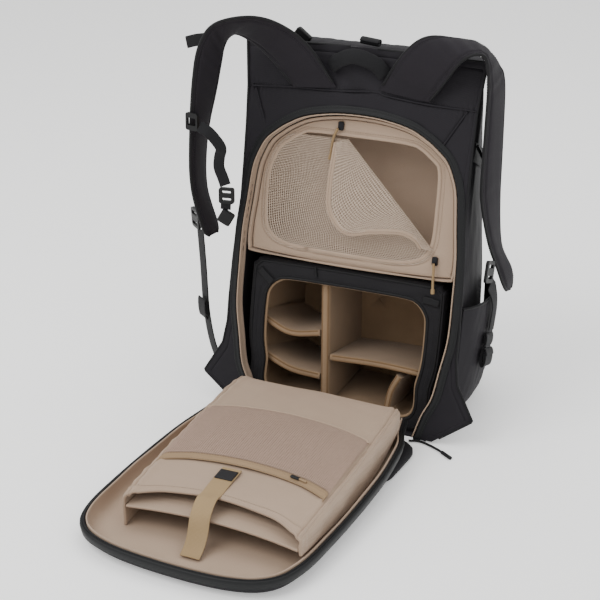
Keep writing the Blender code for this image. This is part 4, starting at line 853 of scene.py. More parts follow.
free_edge = even_line(on_window([(x, y, n + 0.0044) for x, y, n in FLAP_EDGE]), 120)
tube("flap_binding", free_edge, 0.0036, BEIGE_LINING, "beige_lining", "mesh_panel", 10, 0.30, OUTWARD)
window_rim = on_face(*window_loop.T, FRONT_N + 0.0012)
tube("window_zip_tape", looped(window_rim), 0.0027, BEIGE_LINING, "beige_lining", "compartment_front", 8, 0.5,
     OUTWARD)

# Beige thread, a little darker than the lining that it sews
BEIGE_THREAD = woven("beige_sewing_thread", "A08B77", "84705D", 0.0012, 0.6)
hem_line = WINDOW_MIDDLE + (window_loop - WINDOW_MIDDLE) * 1.055
stitches("window_hem_stitches", on_face(*hem_line.T, FRONT_N + 0.0010), REAR, BEIGE_THREAD, "beige_lining",
         "compartment_front")
stitches("flap_stitches", free_edge + np.array(REAR) * 0.0015, REAR, BEIGE_THREAD, "beige_lining",
         "mesh_panel")

# Camera pod: a box of black nylon over foam with a rounded front edge, dark piping round its arched
# mouth, and a brushed tan liner inside. It stands on the bag's floor and its edges are piped.
POD_HALF = 0.144
POD_TOP = 0.2155
POD_DEPTH = 0.140
POD_WALL = 0.006
POD_MOUTH_HALF = 0.121
POD_MOUTH_TOP = 0.192
POD_CORNER = 0.016
POD_TAPER = 0.018

# The pod's nylon, darker and a little tighter than the bag's
POD_NYLON = woven("pod_woven_nylon", "1C1A1E", "121113", 0.0012, 0.7)


def pod_loop(half_width, n, level, top, corner):
    """A closed outline at depth n: foot at a height above the floor, upright sides, round upper corners."""
    foot = (level - n * math.sin(LEAN)) / math.cos(LEAN)
    left = [(-half_width * 0.86, foot), (-half_width * 0.955, foot + 0.3 * (top - foot)),
            (-half_width, foot + 0.5 * (top - foot)), (-half_width, top - corner)]
    left += [(-half_width + corner * (1 - math.cos(a)), top - corner * (1 - math.sin(a)))
             for a in np.radians((30, 60, 90))]
    left = np.array(left + [(-half_width * 0.3, top + 0.001)])
    return np.concatenate([left, left[::-1] * np.array([-1.0, 1.0]), [(0.0, foot)]])


pod_n = -BINDING_DEPTH - 2 * GAP - POD_WALL / 2
pod_level = SHELL_WALL + 3 * GAP + POD_WALL / 2
pod_half = POD_HALF - POD_WALL / 2
pod_back_n = pod_n - POD_DEPTH


pod_face_n = pod_n + POD_WALL / 2
pod_roof = POD_TOP - POD_WALL / 2
ON_POD = ("pod_nylon", "camera_pod")
pod_mouth = dense(pod_loop(POD_MOUTH_HALF, pod_n, pod_level + 0.012, POD_MOUTH_TOP, 0.034))
pod_front = dense(pod_loop(pod_half, pod_n, pod_level, pod_roof, POD_CORNER))
pod_back = dense(pod_loop(pod_half - POD_TAPER, pod_back_n, pod_level, pod_roof, POD_CORNER))
pod_rows = [on_face(*(pod_mouth + (pod_front - pod_mouth) * k).T, pod_n) for k in np.linspace(0, 0.92, 12)]
pod_rows += [on_face(*(pod_front + (pod_back - pod_front) * k).T, pod_n + (pod_back_n - pod_n) * k)
             for k in (0.02, 0.08, 0.2, 0.4, 0.6, 0.8, 0.96)]
pod_rows += [on_face(*scaled(pod_back, k).T, pod_back_n) for k in (0.97, 0.7, 0.4, 0.005)]
pod = np.array(pod_rows)
v, u = shares(*pod.shape[:2])
pod[..., 1] -= 0.0016 * ripple(pod[..., 0], pod[..., 2], 1.7, 60.0) * (v < 0.45) * ramp(v, 0.0, 0.1)
pod_shell = cloth_mesh("pod_shell", pod, POD_NYLON, POD_WALL, round_columns=True, rim=0.0015)
dress(pod_shell, *ON_POD)
tube("pod_mouth_piping", looped(on_face(*pod_mouth.T, pod_face_n - 0.0006)), 0.0024, BINDING_BLACK, *ON_POD,
     10, 1.0, OUTWARD)
stitches("pod_mouth_stitches", on_face(*scaled(pod_mouth, 1.075).T, pod_face_n + 0.0012), REAR, DARK_THREAD,
         *ON_POD)
edge_line = on_face(*scaled(pod_front, 0.975).T, pod_face_n)
tube("pod_edge_piping", edge_line[8:-22], 0.0016, BINDING_BLACK, *ON_POD, 8, 1.0, REAR)
for side, strip in (("left", [(-0.131, 0.199), (-0.121, 0.190), (-0.110, 0.182)]),
                    ("right", [(0.112, 0.193), (0.123, 0.192), (0.135, 0.190)])):
    route = smooth_line(on_face(*np.array(strip).T, pod_face_n + 0.0016), 12)
    across = unit(np.cross(np.gradient(route, axis=0), np.array(REAR)))
    band = route[:, None] + across[:, None] * (np.linspace(-0.005, 0.005, 7))[None, :, None]
    dress(cloth_mesh("pod_corner_webbing_" + side, band, BINDING_BLACK, 0.0014), *ON_POD)
pull = on_face([-0.047, -0.046, -0.044], [0.214, 0.208, 0.200], pod_face_n + 0.0022)
tube("pod_zip_pull", smooth_line(pull, 14), 0.0016, BINDING_BLACK, *ON_POD, 8, 1.0, REAR)

# Liner of the pod: tan brushed loop cloth on thin foam, tapered like the pod and turned over at the
# mouth into a round hem, so that the dividers' hook tape can grip it anywhere.
LINING_IN = POD_WALL / 2 + 2 * GAP + 0.001
LINING_HALF = pod_half - LINING_IN - 0.0012
LINING_TOP = pod_roof - LINING_IN
LINING_LEVEL = pod_level + LINING_IN
lining_front_n = pod_n - LINING_IN
lining_back_n = pod_back_n + LINING_IN


def brushed(name, base, shade):
    """Brushed loop cloth over foam: short fibres as fine and coarse noise that colour and raise it."""
    made, tree, shader = blank(name)
    place = add(tree, "ShaderNodeTexCoord").outputs["Object"]
    fibre = add(tree, "ShaderNodeTexNoise", Vector=place, Scale=1500.0, Detail=3.0)
    patch = add(tree, "ShaderNodeTexNoise", Vector=place, Scale=30.0, Detail=3.0)
    half = add(tree, "ShaderNodeMath", {"operation": "MULTIPLY"}, i0=patch.outputs["Fac"], i1=0.5)
    both = add(tree, "ShaderNodeMath", {"operation": "MULTIPLY_ADD", "use_clamp": True},
               i0=fibre.outputs["Fac"], i1=0.6, i2=half.outputs[0])
    coloured(tree, shader, both.outputs[0], linear(shade), linear(base))
    raised(tree, shader, fibre.outputs["Fac"], 0.5, 0.0006)
    shader.inputs["Roughness"].default_value = 0.95
    shader.inputs["Sheen Weight"].default_value = 0.12
    return made


# Polyamide loop pile, which softens every edge and catches light at its fibres' tips
TAN_BRUSHED = brushed("tan_brushed_loop_cloth", "93795D", "6B563F")
tube("pod_mouth_hem", looped(on_face(*scaled(pod_mouth, 0.975).T, pod_n - 0.0012)), 0.0022, TAN_BRUSHED,
     "tan_brushed_liner", "pod_lining", 8, 1.0, REAR)
lining_front, lining_back = (pod_loop(half, n, LINING_LEVEL, LINING_TOP, POD_CORNER - LINING_IN)
                             for half, n in ((LINING_HALF, lining_front_n),
                                             (LINING_HALF - POD_TAPER, lining_back_n)))
first, last = dense(lining_front, 160), dense(lining_back, 160)
rows = [on_face(*(first + (last - first) * k).T, lining_front_n + (lining_back_n - lining_front_n) * k)
        for k in np.linspace(0, 1, 14)]
rows += [on_face(*scaled(last, k).T, lining_back_n) for k in (0.96, 0.7, 0.4, 0.2, 0.005)]
pod_lining = cloth_mesh("pod_liner", np.array(rows), TAN_BRUSHED, 0.002, round_columns=True)
held(pod_lining, "tan_brushed_liner", "pod_lining")

# Dividers of the pod: foam boards in the same brushed cloth with rounded front edges and a bound hem
# down both sides of them. Hook tape on their ends holds them to the liner.
DIVIDER_FRONT_N = lining_front_n - 0.004
DIVIDER_BACK_N = lining_back_n + 0.0017
ROOF_S = LINING_TOP - 0.0017
FLOOR_Z = LINING_LEVEL + 0.0017
SHELF_WALL = 0.009
MAIN_WALL = 0.013

# Hem tape of the dividers, a closer and darker tan than their pile
TAN_HEM = woven("tan_hem_tape", "836849", "614A33", 0.0010, 0.8)


def lining_x(s, n):
    """Half-width inside the lining at a height and depth."""
    depth = (lining_front_n - n) / (lining_front_n - lining_back_n)
    front = np.interp(s, lining_front[:4, 1], -lining_front[:4, 0])
    back = np.interp(s, lining_back[:4, 1], -lining_back[:4, 0])
    return front + (back - front) * depth - 0.001


def board(name, node, stations, wall, wall_side=0):
    """A foam board through (x, s) stations: rings of a rounded front and a square back, pillowed a
    little, and a hem tape along its front edge."""
    line = smooth_line(stations, 40)
    across = unit(np.gradient(line, axis=0))
    across = np.stack([-across[:, 1], across[:, 0]], axis=1)
    nose = [(math.cos(a), -wall * 0.3 * (1 - math.sin(a))) for a in np.linspace(0, math.pi, 9)]
    depth = DIVIDER_FRONT_N - wall * 0.3 - DIVIDER_BACK_N
    left = [(-1, -wall * 0.3 - depth * k) for k in np.linspace(0.04, 1, 12)]
    profile = nose + left + [(-0.5, left[-1][1]), (0.5, left[-1][1])] + [(1, d) for _, d in left[::-1]]
    rings = []
    for i, (p, w) in enumerate(zip(line, across)):
        ring = []
        for a, d in profile:
            n = DIVIDER_FRONT_N + d
            pillow = 1 + 0.10 * math.sin(math.pi * min(1.0, -d / depth)) * (abs(a) == 1)
            x, s = p + w * a * wall / 2 * pillow
            if wall_side:
                limit = lining_x(s, n) - 0.0007
                x = wall_side * (limit if i == 0 else min(wall_side * x, limit))
            ring.append(on_face(x, s, n))
        rings.append(ring)
    rings = np.array(rings)
    rings[..., 2] = np.maximum(rings[..., 2], FLOOR_Z)
    made = cloth_mesh(name, rings, TAN_BRUSHED, round_columns=True, cap=True)
    dress(made, "tan_brushed_liner", node)
    for side, spot in (("a", 0.62), ("b", -0.62)):
        edge = on_face(*(line + across * wall / 2 * spot)[1:-1].T, DIVIDER_FRONT_N - wall * 0.07)
        edge[:, 2] = np.maximum(edge[:, 2], FLOOR_Z + 0.001)
        tube(name + "_hem_" + side, edge, 0.0012, TAN_HEM, "tan_brushed_liner", node, 6, 0.6, OUTWARD)


def main_x(s):
    """Where the main divider's middle is at a height along the face."""
    return -0.037 + 0.016 * (1 - s / ROOF_S)


def shelf(name, node, side, heights):
    """A shelf from the lining's side wall to the main divider, sagging through its heights."""
    edge = side * (lining_x(heights[0], DIVIDER_FRONT_N) - 0.0007)
    inner = main_x(heights[2]) + side * (MAIN_WALL / 2 + 0.0013)
    board(name, node, list(zip((edge, (edge + inner) / 2, inner), heights)), SHELF_WALL, side)


main_foot = (FLOOR_Z - DIVIDER_BACK_N * math.sin(LEAN)) / math.cos(LEAN)
main_line = [(main_x(s), s) for s in (main_foot - 0.02, 0.09, 0.14, ROOF_S)]
board("main_divider", "pod_divider_main", main_line, MAIN_WALL)
shelf("upper_left_shelf", "pod_shelf_left_upper", -1, (0.131, 0.112, 0.118))
shelf("lower_left_shelf", "pod_shelf_left_lower", -1, (0.078, 0.060, 0.056))
shelf("right_shelf", "pod_shelf_right", 1, (0.086, 0.089, 0.086))
board("right_upright", "pod_divider_right", [(0.084, 0.0775), (0.074, 0.055), (0.070, 0.030)], SHELF_WALL)

# Door: the bag's rear panel laid on the floor, a shallow tray of the same nylon on foam with a beige
# lining, its half of the coated zip round the rim and ribbed black pads under it.
DOOR_START_Y = -0.1405
DOOR_LENGTH = 0.428
DOOR_HALF = 0.150
DOOR_YAW = math.radians(3.4)
DOOR_WALL = 0.003
DOOR_RIM = 0.021
DOOR_LINE = np.array([
    (0.766, 0.005), (0.829, 0.083), (0.905, 0.147), (0.950, 0.237), (0.985, 0.344), (1.000, 0.474),
    (1.003, 0.593), (0.998, 0.688), (0.985, 0.795), (0.950, 0.867), (0.890, 0.917), (0.790, 0.952),
    (0.660, 0.974), (0.475, 0.990), (0.240, 0.998), (0.000, 1.000),
])
door_half_line = DOOR_LINE * np.array([-DOOR_HALF, DOOR_LENGTH])
DOOR_RIM_LINE = even_line(mirrored(door_half_line), 261)
DOOR_CURL = 0.012
DOOR_FALL = 0.0160
TRAY_INSET = 0.0032
TRAY_LIFT = 0.0043


def on_door(x, u, h):
    """A point of the door: x across, u along the floor from the hinge, h above the floor."""
    x, u, h = np.broadcast_arrays(np.asarray(x, float), np.asarray(u, float), np.asarray(h, float))
    c = math.cos(DOOR_YAW)
    k = math.sin(DOOR_YAW)
    return np.stack([x * c - u * k, DOOR_START_Y - x * k - u * c, h], axis=-1)


def door_outline(inset):
    """Left foot to right foot of the door's rim, moved inwards by an inset: rows of x and u."""
    line = inward(DOOR_RIM_LINE, inset)
    line[:, 1] = np.maximum(line[:, 1], 0.002)
    return line


def door_foot(u):
    """Height of the door's underside above the floor at a distance from the hinge."""
    return 0.0165 - DOOR_FALL * ramp(u, 0.0, DOOR_LENGTH)


def door_tray(rim_inset, base_lift, rise):
    """The door's dished form: a flat floor whose edge curls up in a quarter round to a rim."""
    foot = door_outline(rim_inset + DOOR_CURL)
    rows = [on_door(foot[:, 0] * k, foot[:, 1], door_foot(foot[:, 1]) + base_lift)
            for k in (0.0, 0.25, 0.5, 0.7, 0.85, 0.95)]
    for k in np.linspace(0, 1, 14):
        a = k * math.pi / 2
        line = door_outline(rim_inset + DOOR_CURL * (1 - math.sin(a) ** 0.9))
        lift = rise * (0.42 * (1 - math.cos(a)) + 0.58 * k ** 2.2)
        rows.append(on_door(*line.T, door_foot(line[:, 1]) + base_lift + lift))
    return np.array(rows)


door = cloth_mesh("door_shell", door_tray(0.0, DOOR_WALL / 2, DOOR_RIM), SHELL_NYLON, DOOR_WALL, rim=0.001)
dress(door, "shell_nylon", "door_panel")
tray = door_tray(TRAY_INSET, TRAY_LIFT, DOOR_RIM)
v, u = shares(*tray.shape[:2])
crease = 0.0008 * ripple(tray[..., 0], tray[..., 1], 0.8, 55.0) + 0.0007 * np.sin(u * 400) * bell(v, 0.6, 0.1)
tray[..., 2] += np.clip(crease, -0.0006, 0.0016) * (v > 0.02)
held(cloth_mesh("door_inner_lining", tray, BEIGE_LINING, 0.0018), "beige_lining", "door_lining")
rim = door_outline(-0.0033)
profile = [(0.0, -0.009), (0.0006, -0.005), (0.0014, -0.002), (0.0012, 0.0006), (0.0, 0.0016),
           (-0.0012, 0.0014)]
tape = [on_door(*inward(rim, -d).T, door_foot(rim[:, 1]) + DOOR_RIM + h) for d, h in profile]
door_tape = cloth_mesh("door_zip_tape", np.array(tape), COATED_TAPE, 0.0016)
held(door_tape, "coated_zip_tape", "door_zip")
teeth_line = on_door(*door_outline(-0.0008).T, door_foot(door_outline(0.0)[:, 1]) + DOOR_RIM + 0.0018)
tube("door_zip_coil", teeth_line, 0.0013, BINDING_BLACK, "coated_zip_tape", "door_zip", 8)

# Pads under the door: slabs of foam in black ribbed spacer mesh, sewn to the door's outer side, a deep
# lumbar one at the foot and a narrower back one above it.

# The mesh's slanted ribs catch the light as a coarse twill
RIBBED_FOAM = woven("ribbed_spacer_mesh", "1D1B1F", "131214", 0.0016, 0.8, bump=0.5, twill=True)


# Share of the outline and share of the height, from the middle of the underside to that of the top
PAD_RINGS = ((0.002, 0.0), (0.5, 0.0), (0.96, 0.0), (1.0, 0.3), (1.0, 0.7), (0.97, 1.0), (0.5, 1.0),
             (0.002, 1.0))
PAD_SQUARENESS = 7


def pad(name, node, half_width, start, length):
    """A pad under the door: a superellipse outline, drawn in towards its top and bottom, whose height
    falls with the door's underside."""
    t = np.linspace(0, 2 * math.pi, 120, endpoint=False)
    x = half_width * squared(np.cos(t), 2 / PAD_SQUARENESS)
    y = length / 2 * squared(np.sin(t), 2 / PAD_SQUARENESS)
    height = door_foot(start) - GAP
    rings = []
    for k, level in PAD_RINGS:
        top = (height - DOOR_FALL / DOOR_LENGTH * (y * k + length / 2)) * level
        rings.append(on_door(x * k, start + length / 2 + y * k, np.maximum(top, 0.0002)))
    made = dress(cloth_mesh(name, np.array(rings), RIBBED_FOAM, round_columns=True), "black_webbing", node)


pad("lumbar_cushion", "lumbar_pad", 0.141, 0.010, 0.112)
pad("back_cushion", "back_pad", 0.141 * 0.76, 0.134, 0.20)

# Hinge of the door: a strip of the beige lining sewn to the bag's floor and over the door's foot, which
# bows up between the two.
hinge_over = door_foot(0.0) + TRAY_LIFT + 0.001 + GAP + 0.0012
hinge = [[np.array([x, REAR_FOOT_Y + 0.010, SHELL_WALL + 0.0014]),
          np.array([x, REAR_FOOT_Y - 0.001, SHELL_WALL + 0.006]),
          on_door(x, -0.003, hinge_over), on_door(x, 0.010, hinge_over)]
         for x in np.linspace(-0.100, 0.100, 9)]
hinge = refine(hinge, 60, 16)
held(cloth_mesh("door_hinge_cloth", hinge, BEIGE_LINING, 0.0013), "beige_lining", "door_hinge")

# Device sleeves on the door: one box of the beige lining over foam, sewn down along its sides and open
# at the far end. A ribbed padded layer divides it, and its shoulders and mouth have seams and a hem.
SLEEVE_HALF = 0.1222
SLEEVE_START = 0.028
SLEEVE_LENGTH = 0.326
SLEEVE_WALL = 0.003
SLEEVE_SKEW = math.tan(DOOR_YAW)
SLEEVE_MOUTH_SKEW = -0.026
SLEEVE_COLUMNS = 14

# Share of its length from the hinge, width share, height share, how far the middle is drawn back
SLEEVE = np.array([
    (0.000, 0.90, 0.72, -0.010), (0.020, 0.95, 0.93, -0.015), (0.060, 0.98, 1.00, -0.010),
    (0.300, 1.00, 1.02, 0.000), (0.600, 1.00, 1.02, 0.000), (0.860, 0.985, 1.01, 0.035),
    (1.000, 0.97, 1.00, 0.100),
])


def sleeve_top(u):
    """Height of the sleeve's upper side above the floor."""
    return 0.073 - 0.017 * np.clip(u / SLEEVE_LENGTH, 0, 1.2)


def sleeve_floor(u):
    """Height of the door lining's upper side."""
    return door_foot(u) + 0.0053


def on_sleeve(x, u, h):
    """A point of the sleeve, which lies straight while the door under it is turned a little."""
    x, u = np.broadcast_arrays(np.asarray(x, float), np.asarray(u, float))
    return on_door(x + SLEEVE_SKEW * u, u + SLEEVE_MOUTH_SKEW * x, h)


def side_base(x, u):
    """Height of the sleeve wall's foot, standing on the door lining or on its curled edge."""
    outer = x + SLEEVE_SKEW * u + math.copysign(SLEEVE_WALL / 2 + 0.0046, x)
    marks = []
    for inset in (0.0, DOOR_CURL / 4, DOOR_CURL):
        line = door_outline(TRAY_INSET + inset)[:130]
        marks.append(np.interp(u, line[:, 1], line[:, 0]))
    rise = np.interp(-abs(outer), marks, (DOOR_RIM, DOOR_RIM * 0.42, 0.0))
    return sleeve_floor(u) + rise + 2 * GAP + SLEEVE_WALL * 0.1


def sleeve_section(u, half_width, top, drawn):
    """One cross-section of the sleeve: side, round shoulder and crowned top."""
    points = []
    for side in (-1, 1):
        base = side_base(side * half_width, u)
        for x, level, pull in ((1.0, 0.0, 0.0), (1.0, 0.45, 0.0), (1.0, 0.80, 0.0), (0.975, 0.95, 0.0),
                               (0.92, 1.0, 0.15), (0.65, 1.03, 0.7), (0.33, 1.05, 0.95)):
            points.append((side * x * half_width, u - drawn * pull, base + (top - base) * level))
    floor = sleeve_floor(u)
    both = np.array(points[:7] + [(0.0, u - drawn, floor + (top - floor) * 1.055)] + points[:6:-1])
    return on_sleeve(*both.T)


sleeve_rows = []
for along, wide, high, drawn in SLEEVE:
    u = SLEEVE_START + along * SLEEVE_LENGTH
    floor = sleeve_floor(u)
    top = floor + (sleeve_top(u) - SLEEVE_WALL / 2 - floor) * high
    sleeve_rows.append(sleeve_section(u, wide * SLEEVE_HALF, top, drawn * SLEEVE_LENGTH))
sleeve_rows = np.array(sleeve_rows)
near = sleeve_rows[0].copy()
near[:, 2] = np.minimum(near[:, 2], max(near[0, 2], near[-1, 2]))
LONG, WIDE = 150, 190
SHOULDERS = (3.6, 10.4)
share_at = np.concatenate([[-0.02], SLEEVE[:, 0]])
sleeve = refine(np.concatenate([[near], sleeve_rows]), LONG, WIDE)
v, u = shares(LONG, WIDE)
v = np.interp(v, np.linspace(0, 1, 8), share_at)
column = u * SLEEVE_COLUMNS
from_side = np.minimum(column, SLEEVE_COLUMNS - column)
shoulder = np.minimum(np.abs(column - SHOULDERS[0]), np.abs(column - SHOULDERS[1]))
fold = 0.0021 * bell(shoulder, 0.0, 0.16) - 0.0015 * bell(shoulder, 0.42, 0.16)
pinch = 0.0007 * np.sin(v * 85 + column) * bell(shoulder, 0.0, 0.55)
slack = 0.0021 * ripple(u * 3.2, v * 3.4, 0.6, 3.2) * ramp(from_side, 4.0, 1.0)
sides = 0.0016 * ripple(u * 9, v * 6, 1.4, 3.0) * (from_side < 3.4)
draw = 0.0010 * np.sin(u * 22 + v * 6) * bell(v, 0.80, 0.09)
hem = -0.0010 * bell(v, 0.965, 0.006)
upright = ramp(from_side, 0.0, 0.6) * ramp(v, -0.02, 0.03)
sleeve = lifted(sleeve, (fold + pinch + slack + sides + draw + hem) * upright, -1.0)
box = cloth_mesh("device_sleeve", sleeve, BEIGE_LINING, SLEEVE_WALL, rim=0.001)
dress(box, "beige_lining", "laptop_sleeve")
lip_seam = even_line(sleeve[-7, 48:142] + np.array(UP) * 0.0016, 160)
stitches("sleeve_lip_stitches", lip_seam, UP, BEIGE_THREAD, "beige_lining", "laptop_sleeve")
lip_line = even_line(sleeve[-1] + np.array([0.0, -0.0006, 0.0]), 160)
tube("sleeve_lip_binding", lip_line, 0.0021, BEIGE_LINING, "beige_lining", "laptop_sleeve", 8, 0.8,
     (0.0, -1.0, 0.0))

layer_rows = []
layer_half = SLEEVE_HALF - SLEEVE_WALL / 2 - 3 * GAP
x = np.linspace(-1, 1, 9)
for along, wide, drawn in ((0.12, 0.99, 0.0), (0.40, 0.995, 0.0), (0.75, 0.985, 0.0), (1.01, 0.963, 0.010)):
    u = SLEEVE_START + along * SLEEVE_LENGTH
    level = sleeve_floor(u) + (sleeve_top(u) - sleeve_floor(u)) * 0.60
    crown = 1 - x ** 2
    layer_rows.append(on_sleeve(x * layer_half * wide, u - drawn * crown, level + 0.002 * crown))
layer = refine(layer_rows, 90, 150)
v, u = shares(90, 150)
layer = lifted(layer, 0.0012 * np.abs(np.sin(v * math.pi * 26)) * np.sin(math.pi * v) - 0.0006, -1.0)
inner_pad = cloth_mesh("tablet_layer", layer, BEIGE_LINING, 0.0036, rim=0.0012)
dress(inner_pad, "beige_lining", "tablet_divider")


def over_sleeve(share, column, lift):
    """A point above the sleeve's upper side: share of its length, column across its section, lift."""
    rows = sleeve_rows
    along = np.interp(share, SLEEVE[:, 0], np.arange(len(SLEEVE)))
    r = np.minimum(np.floor(along).astype(int), len(rows) - 2)
    c = np.minimum(np.floor(column).astype(int), rows.shape[1] - 2)
    f = (along - r)[..., None]
    g = (column - c)[..., None]
    near_side = rows[r, c] * (1 - g) + rows[r, c + 1] * g
    far_side = rows[r + 1, c] * (1 - g) + rows[r + 1, c + 1] * g
    return near_side * (1 - f) + far_side * f + np.array(UP) * lift


def bowed(column):
    """How far the pocket's cross lines bow towards the mouth at a column, as a share of the sleeve."""
    return 0.07 * ((column - SLEEVE_COLUMNS / 2) / 3.4) ** 2


# Pocket on the sleeve: knitted beige net between the shoulder seams, with a turned hem of lining at its
# near edge and a tan zip along its far edge. Its holes, drawn 2.6 mm apart, are finer than that in the
# real net, and this is the closest that still shows.
pocket_lift = SLEEVE_WALL / 2 + 4 * GAP + 0.0012
k, column = np.meshgrid(np.linspace(0, 1, 16), np.linspace(*SHOULDERS, 30), indexing="ij")
pocket = over_sleeve(0.27 + 0.385 * k + bowed(column), column, 0.0)
pocket[..., 2] += pocket_lift + (0.0030 + 0.0013 * ripple(column * 0.2, k, 0.9, 6.0)) * np.sin(math.pi * k)
POCKET_PITCH = 0.0026
POCKET_THREAD = 0.00070

# Finer yarn than the window's, which sinks a little into the beige behind it
POCKET_NETTING = plain("beige_pocket_net", "AE9484", 0.8, grain=0.0008)
pocket_net = knitted("sleeve_pocket_net", pocket, POCKET_PITCH, POCKET_THREAD, POCKET_NETTING)
held(pocket_net, "beige_netting", "mesh_pocket")
line = even_line(pocket[0], 120) + np.array(UP) * 0.0006
tube("pocket_hem", line, 0.0019, BEIGE_LINING, "beige_lining", "mesh_pocket", 8, 0.5)

# Woven polyester zip tape, warmer and browner than the lining
TAN_TAPE = woven("tan_zip_tape", "A48C6F", "846D52", 0.0011, 0.75, bump=0.3)
ON_ZIP = ("beige_lining", "pocket_zip")
k, column = np.meshgrid(np.linspace(0, 1, 13), np.linspace(*SHOULDERS, 150), indexing="ij")
zip_band = over_sleeve(0.661 + k * 0.016 / SLEEVE_LENGTH + bowed(column), column, 0.0)
zip_band[..., 2] += pocket_lift + 0.0011 * bell(k, 0.5, 0.16)
for edge, row in (("near", 1), ("far", 11)):
    stitches("pocket_zip_stitches_" + edge, zip_band[row] + np.array(UP) * 0.0008, UP, BEIGE_THREAD, *ON_ZIP)
held(cloth_mesh("pocket_zip_tape", zip_band, TAN_TAPE, 0.0012), *ON_ZIP)
pull_column = np.array([8.5, 8.8, 9.1])
pull_line = over_sleeve(0.686 + bowed(pull_column), pull_column, pocket_lift + 0.0032)
tube("pocket_zip_slider", smooth_line(pull_line[:2], 6), 0.0028, COATED_TAPE, *ON_ZIP, 10, 0.6)
tube("pocket_zip_pull", smooth_line(pull_line, 24), 0.0016, TAN_TAPE, *ON_ZIP, 8, 0.7)

# Strap that closes the sleeve: tan ribbed polyester webbing, sewn under a bare black patch on the
# sleeve's upper side. It runs over the lip and down to the door.

# Tan webbing: a dull warm band whose cross ribs show
TAN_WEBBING = woven("tan_ribbed_webbing", "AC9470", "8A7352", 0.0015, 0.75, bump=0.6)

# Black webbing: deeper black than the nylon, with the same ribs
BLACK_WEBBING = woven("black_ribbed_webbing", "151417", "0D0D0F", 0.0015, 0.7, bump=0.6)

# Bare woven label, flatter and smoother than the webbing
LABEL_TAPE = plain("bare_label_tape", "1C1B1D", 0.6)


WEB_WALL = 0.0016


def webbing(name, node, middle, facing, width, wall=WEB_WALL, step=0.0022, camber=0.0003,
            slot="black_webbing", finish=BLACK_WEBBING):
    """A flat woven band along a line, its broad side turned to the facing vectors: columns across it
    with a small camber and a wall laid on both sides."""
    middle = np.asarray(middle, float)
    facing = np.broadcast_to(np.asarray(facing, float), middle.shape)
    length = running(middle)[-1]
    both = smooth_line(np.concatenate([middle, facing], axis=1), max(8, int(length / step)))
    middle, facing = both[:, :3], both[:, 3:]
    across = unit(np.cross(np.gradient(middle, axis=0), facing))
    out = unit(np.cross(across, np.gradient(middle, axis=0)))
    k = np.linspace(-1, 1, 9)
    grid = (middle[:, None] + across[:, None] * (k * width / 2)[None, :, None]
            + out[:, None] * (camber * (1 - k ** 2))[None, :, None])
    made = cloth_mesh(name, grid, finish, wall, rim=wall * 0.3)
    dress(made, slot, node)


lip = over_sleeve(np.array([0.74, 0.84, 0.92, 0.985]), np.full(4, 6.6), SLEEVE_WALL / 2 + 0.0016)
band_route = list(lip) + [lip[-1] + np.array(d) for d in ((0.001, -0.016, 0.001), (0.002, -0.034, -0.011),
                                                          (0.004, -0.050, -0.036), (0.004, -0.068, -0.0485))]
webbing("sleeve_band", "sleeve_strap", smooth_line(band_route, 12), (0.0, -0.25, 1.0), 0.026,
        slot="tan_webbing", finish=TAN_WEBBING)
patch = over_sleeve(np.array([0.765, 0.80, 0.835]), np.full(3, 6.6), SLEEVE_WALL / 2 + 0.0036)
patch = refine([[p + np.array([k, 0.0, 0.0]) for k in (-0.0118, 0, 0.0118)] for p in patch], 9, 12)
dress(cloth_mesh("bare_label", patch, LABEL_TAPE, 0.0007), "tan_webbing", "sleeve_strap")

# Shoulder straps: foam cut to shape between two layers of woven nylon, domed across, with a bound
# edge, a stitched line inside it and webbing sewn down the middle of the outer face.
STRAP_REACH = 0.100
STRAP_THICK = 0.010

# Heavier nylon of the straps, with coarser threads that scatter more light
STRAP_NYLON = woven("strap_woven_nylon", "242025", "171419", 0.0012, 0.78, bump=0.35)


def by_share(rows):
    """Points from rows of x share, distance out of the rear face as a share of reach, and height share."""
    rows = np.asarray(rows, float)
    z = rows[:, 2] * PANEL_TOP
    return np.stack([rows[:, 0] * PANEL_HALF, rear_y(z) - rows[:, 1] * STRAP_REACH, z], axis=1)


# Inner and outer edges of both straps, from the yoke over the bend and down: x share of the panel's half
# width, share of the reach out of the rear face, height share
LEFT_INNER = by_share([
    (-0.194, 0.026, 0.900), (-0.424, 0.34, 1.024), (-0.694, 0.73, 1.089), (-0.970, 1.06, 1.083),
    (-1.100, 1.10, 1.028), (-1.145, 1.08, 0.935), (-1.170, 0.97, 0.786), (-1.178, 0.81, 0.644),
    (-1.105, 0.63, 0.523), (-1.070, 0.51, 0.497)])
LEFT_OUTER = by_share([
    (-0.559, 0.026, 0.889), (-0.765, 0.28, 0.982), (-0.985, 0.40, 1.028), (-1.050, 0.52, 1.008),
    (-1.062, 0.58, 0.950), (-1.100, 0.53, 0.885), (-1.195, 0.38, 0.756), (-1.210, 0.26, 0.618),
    (-1.100, 0.22, 0.515), (-1.070, 0.29, 0.493)])
RIGHT_INNER = by_share([
    (0.165, 0.026, 0.905), (0.335, 0.22, 0.996), (0.500, 0.31, 1.053), (0.620, 0.22, 1.062),
    (0.760, 0.10, 1.055), (0.890, -0.03, 1.045), (0.995, -0.18, 1.012), (1.055, -0.30, 0.975),
    (1.090, -0.36, 0.932), (1.090, -0.58, 0.756), (1.085, -0.73, 0.643), (1.085, -0.93, 0.531),
    (1.100, -1.09, 0.463), (1.145, -1.29, 0.412), (1.160, -1.43, 0.366), (1.156, -1.435, 0.333)])
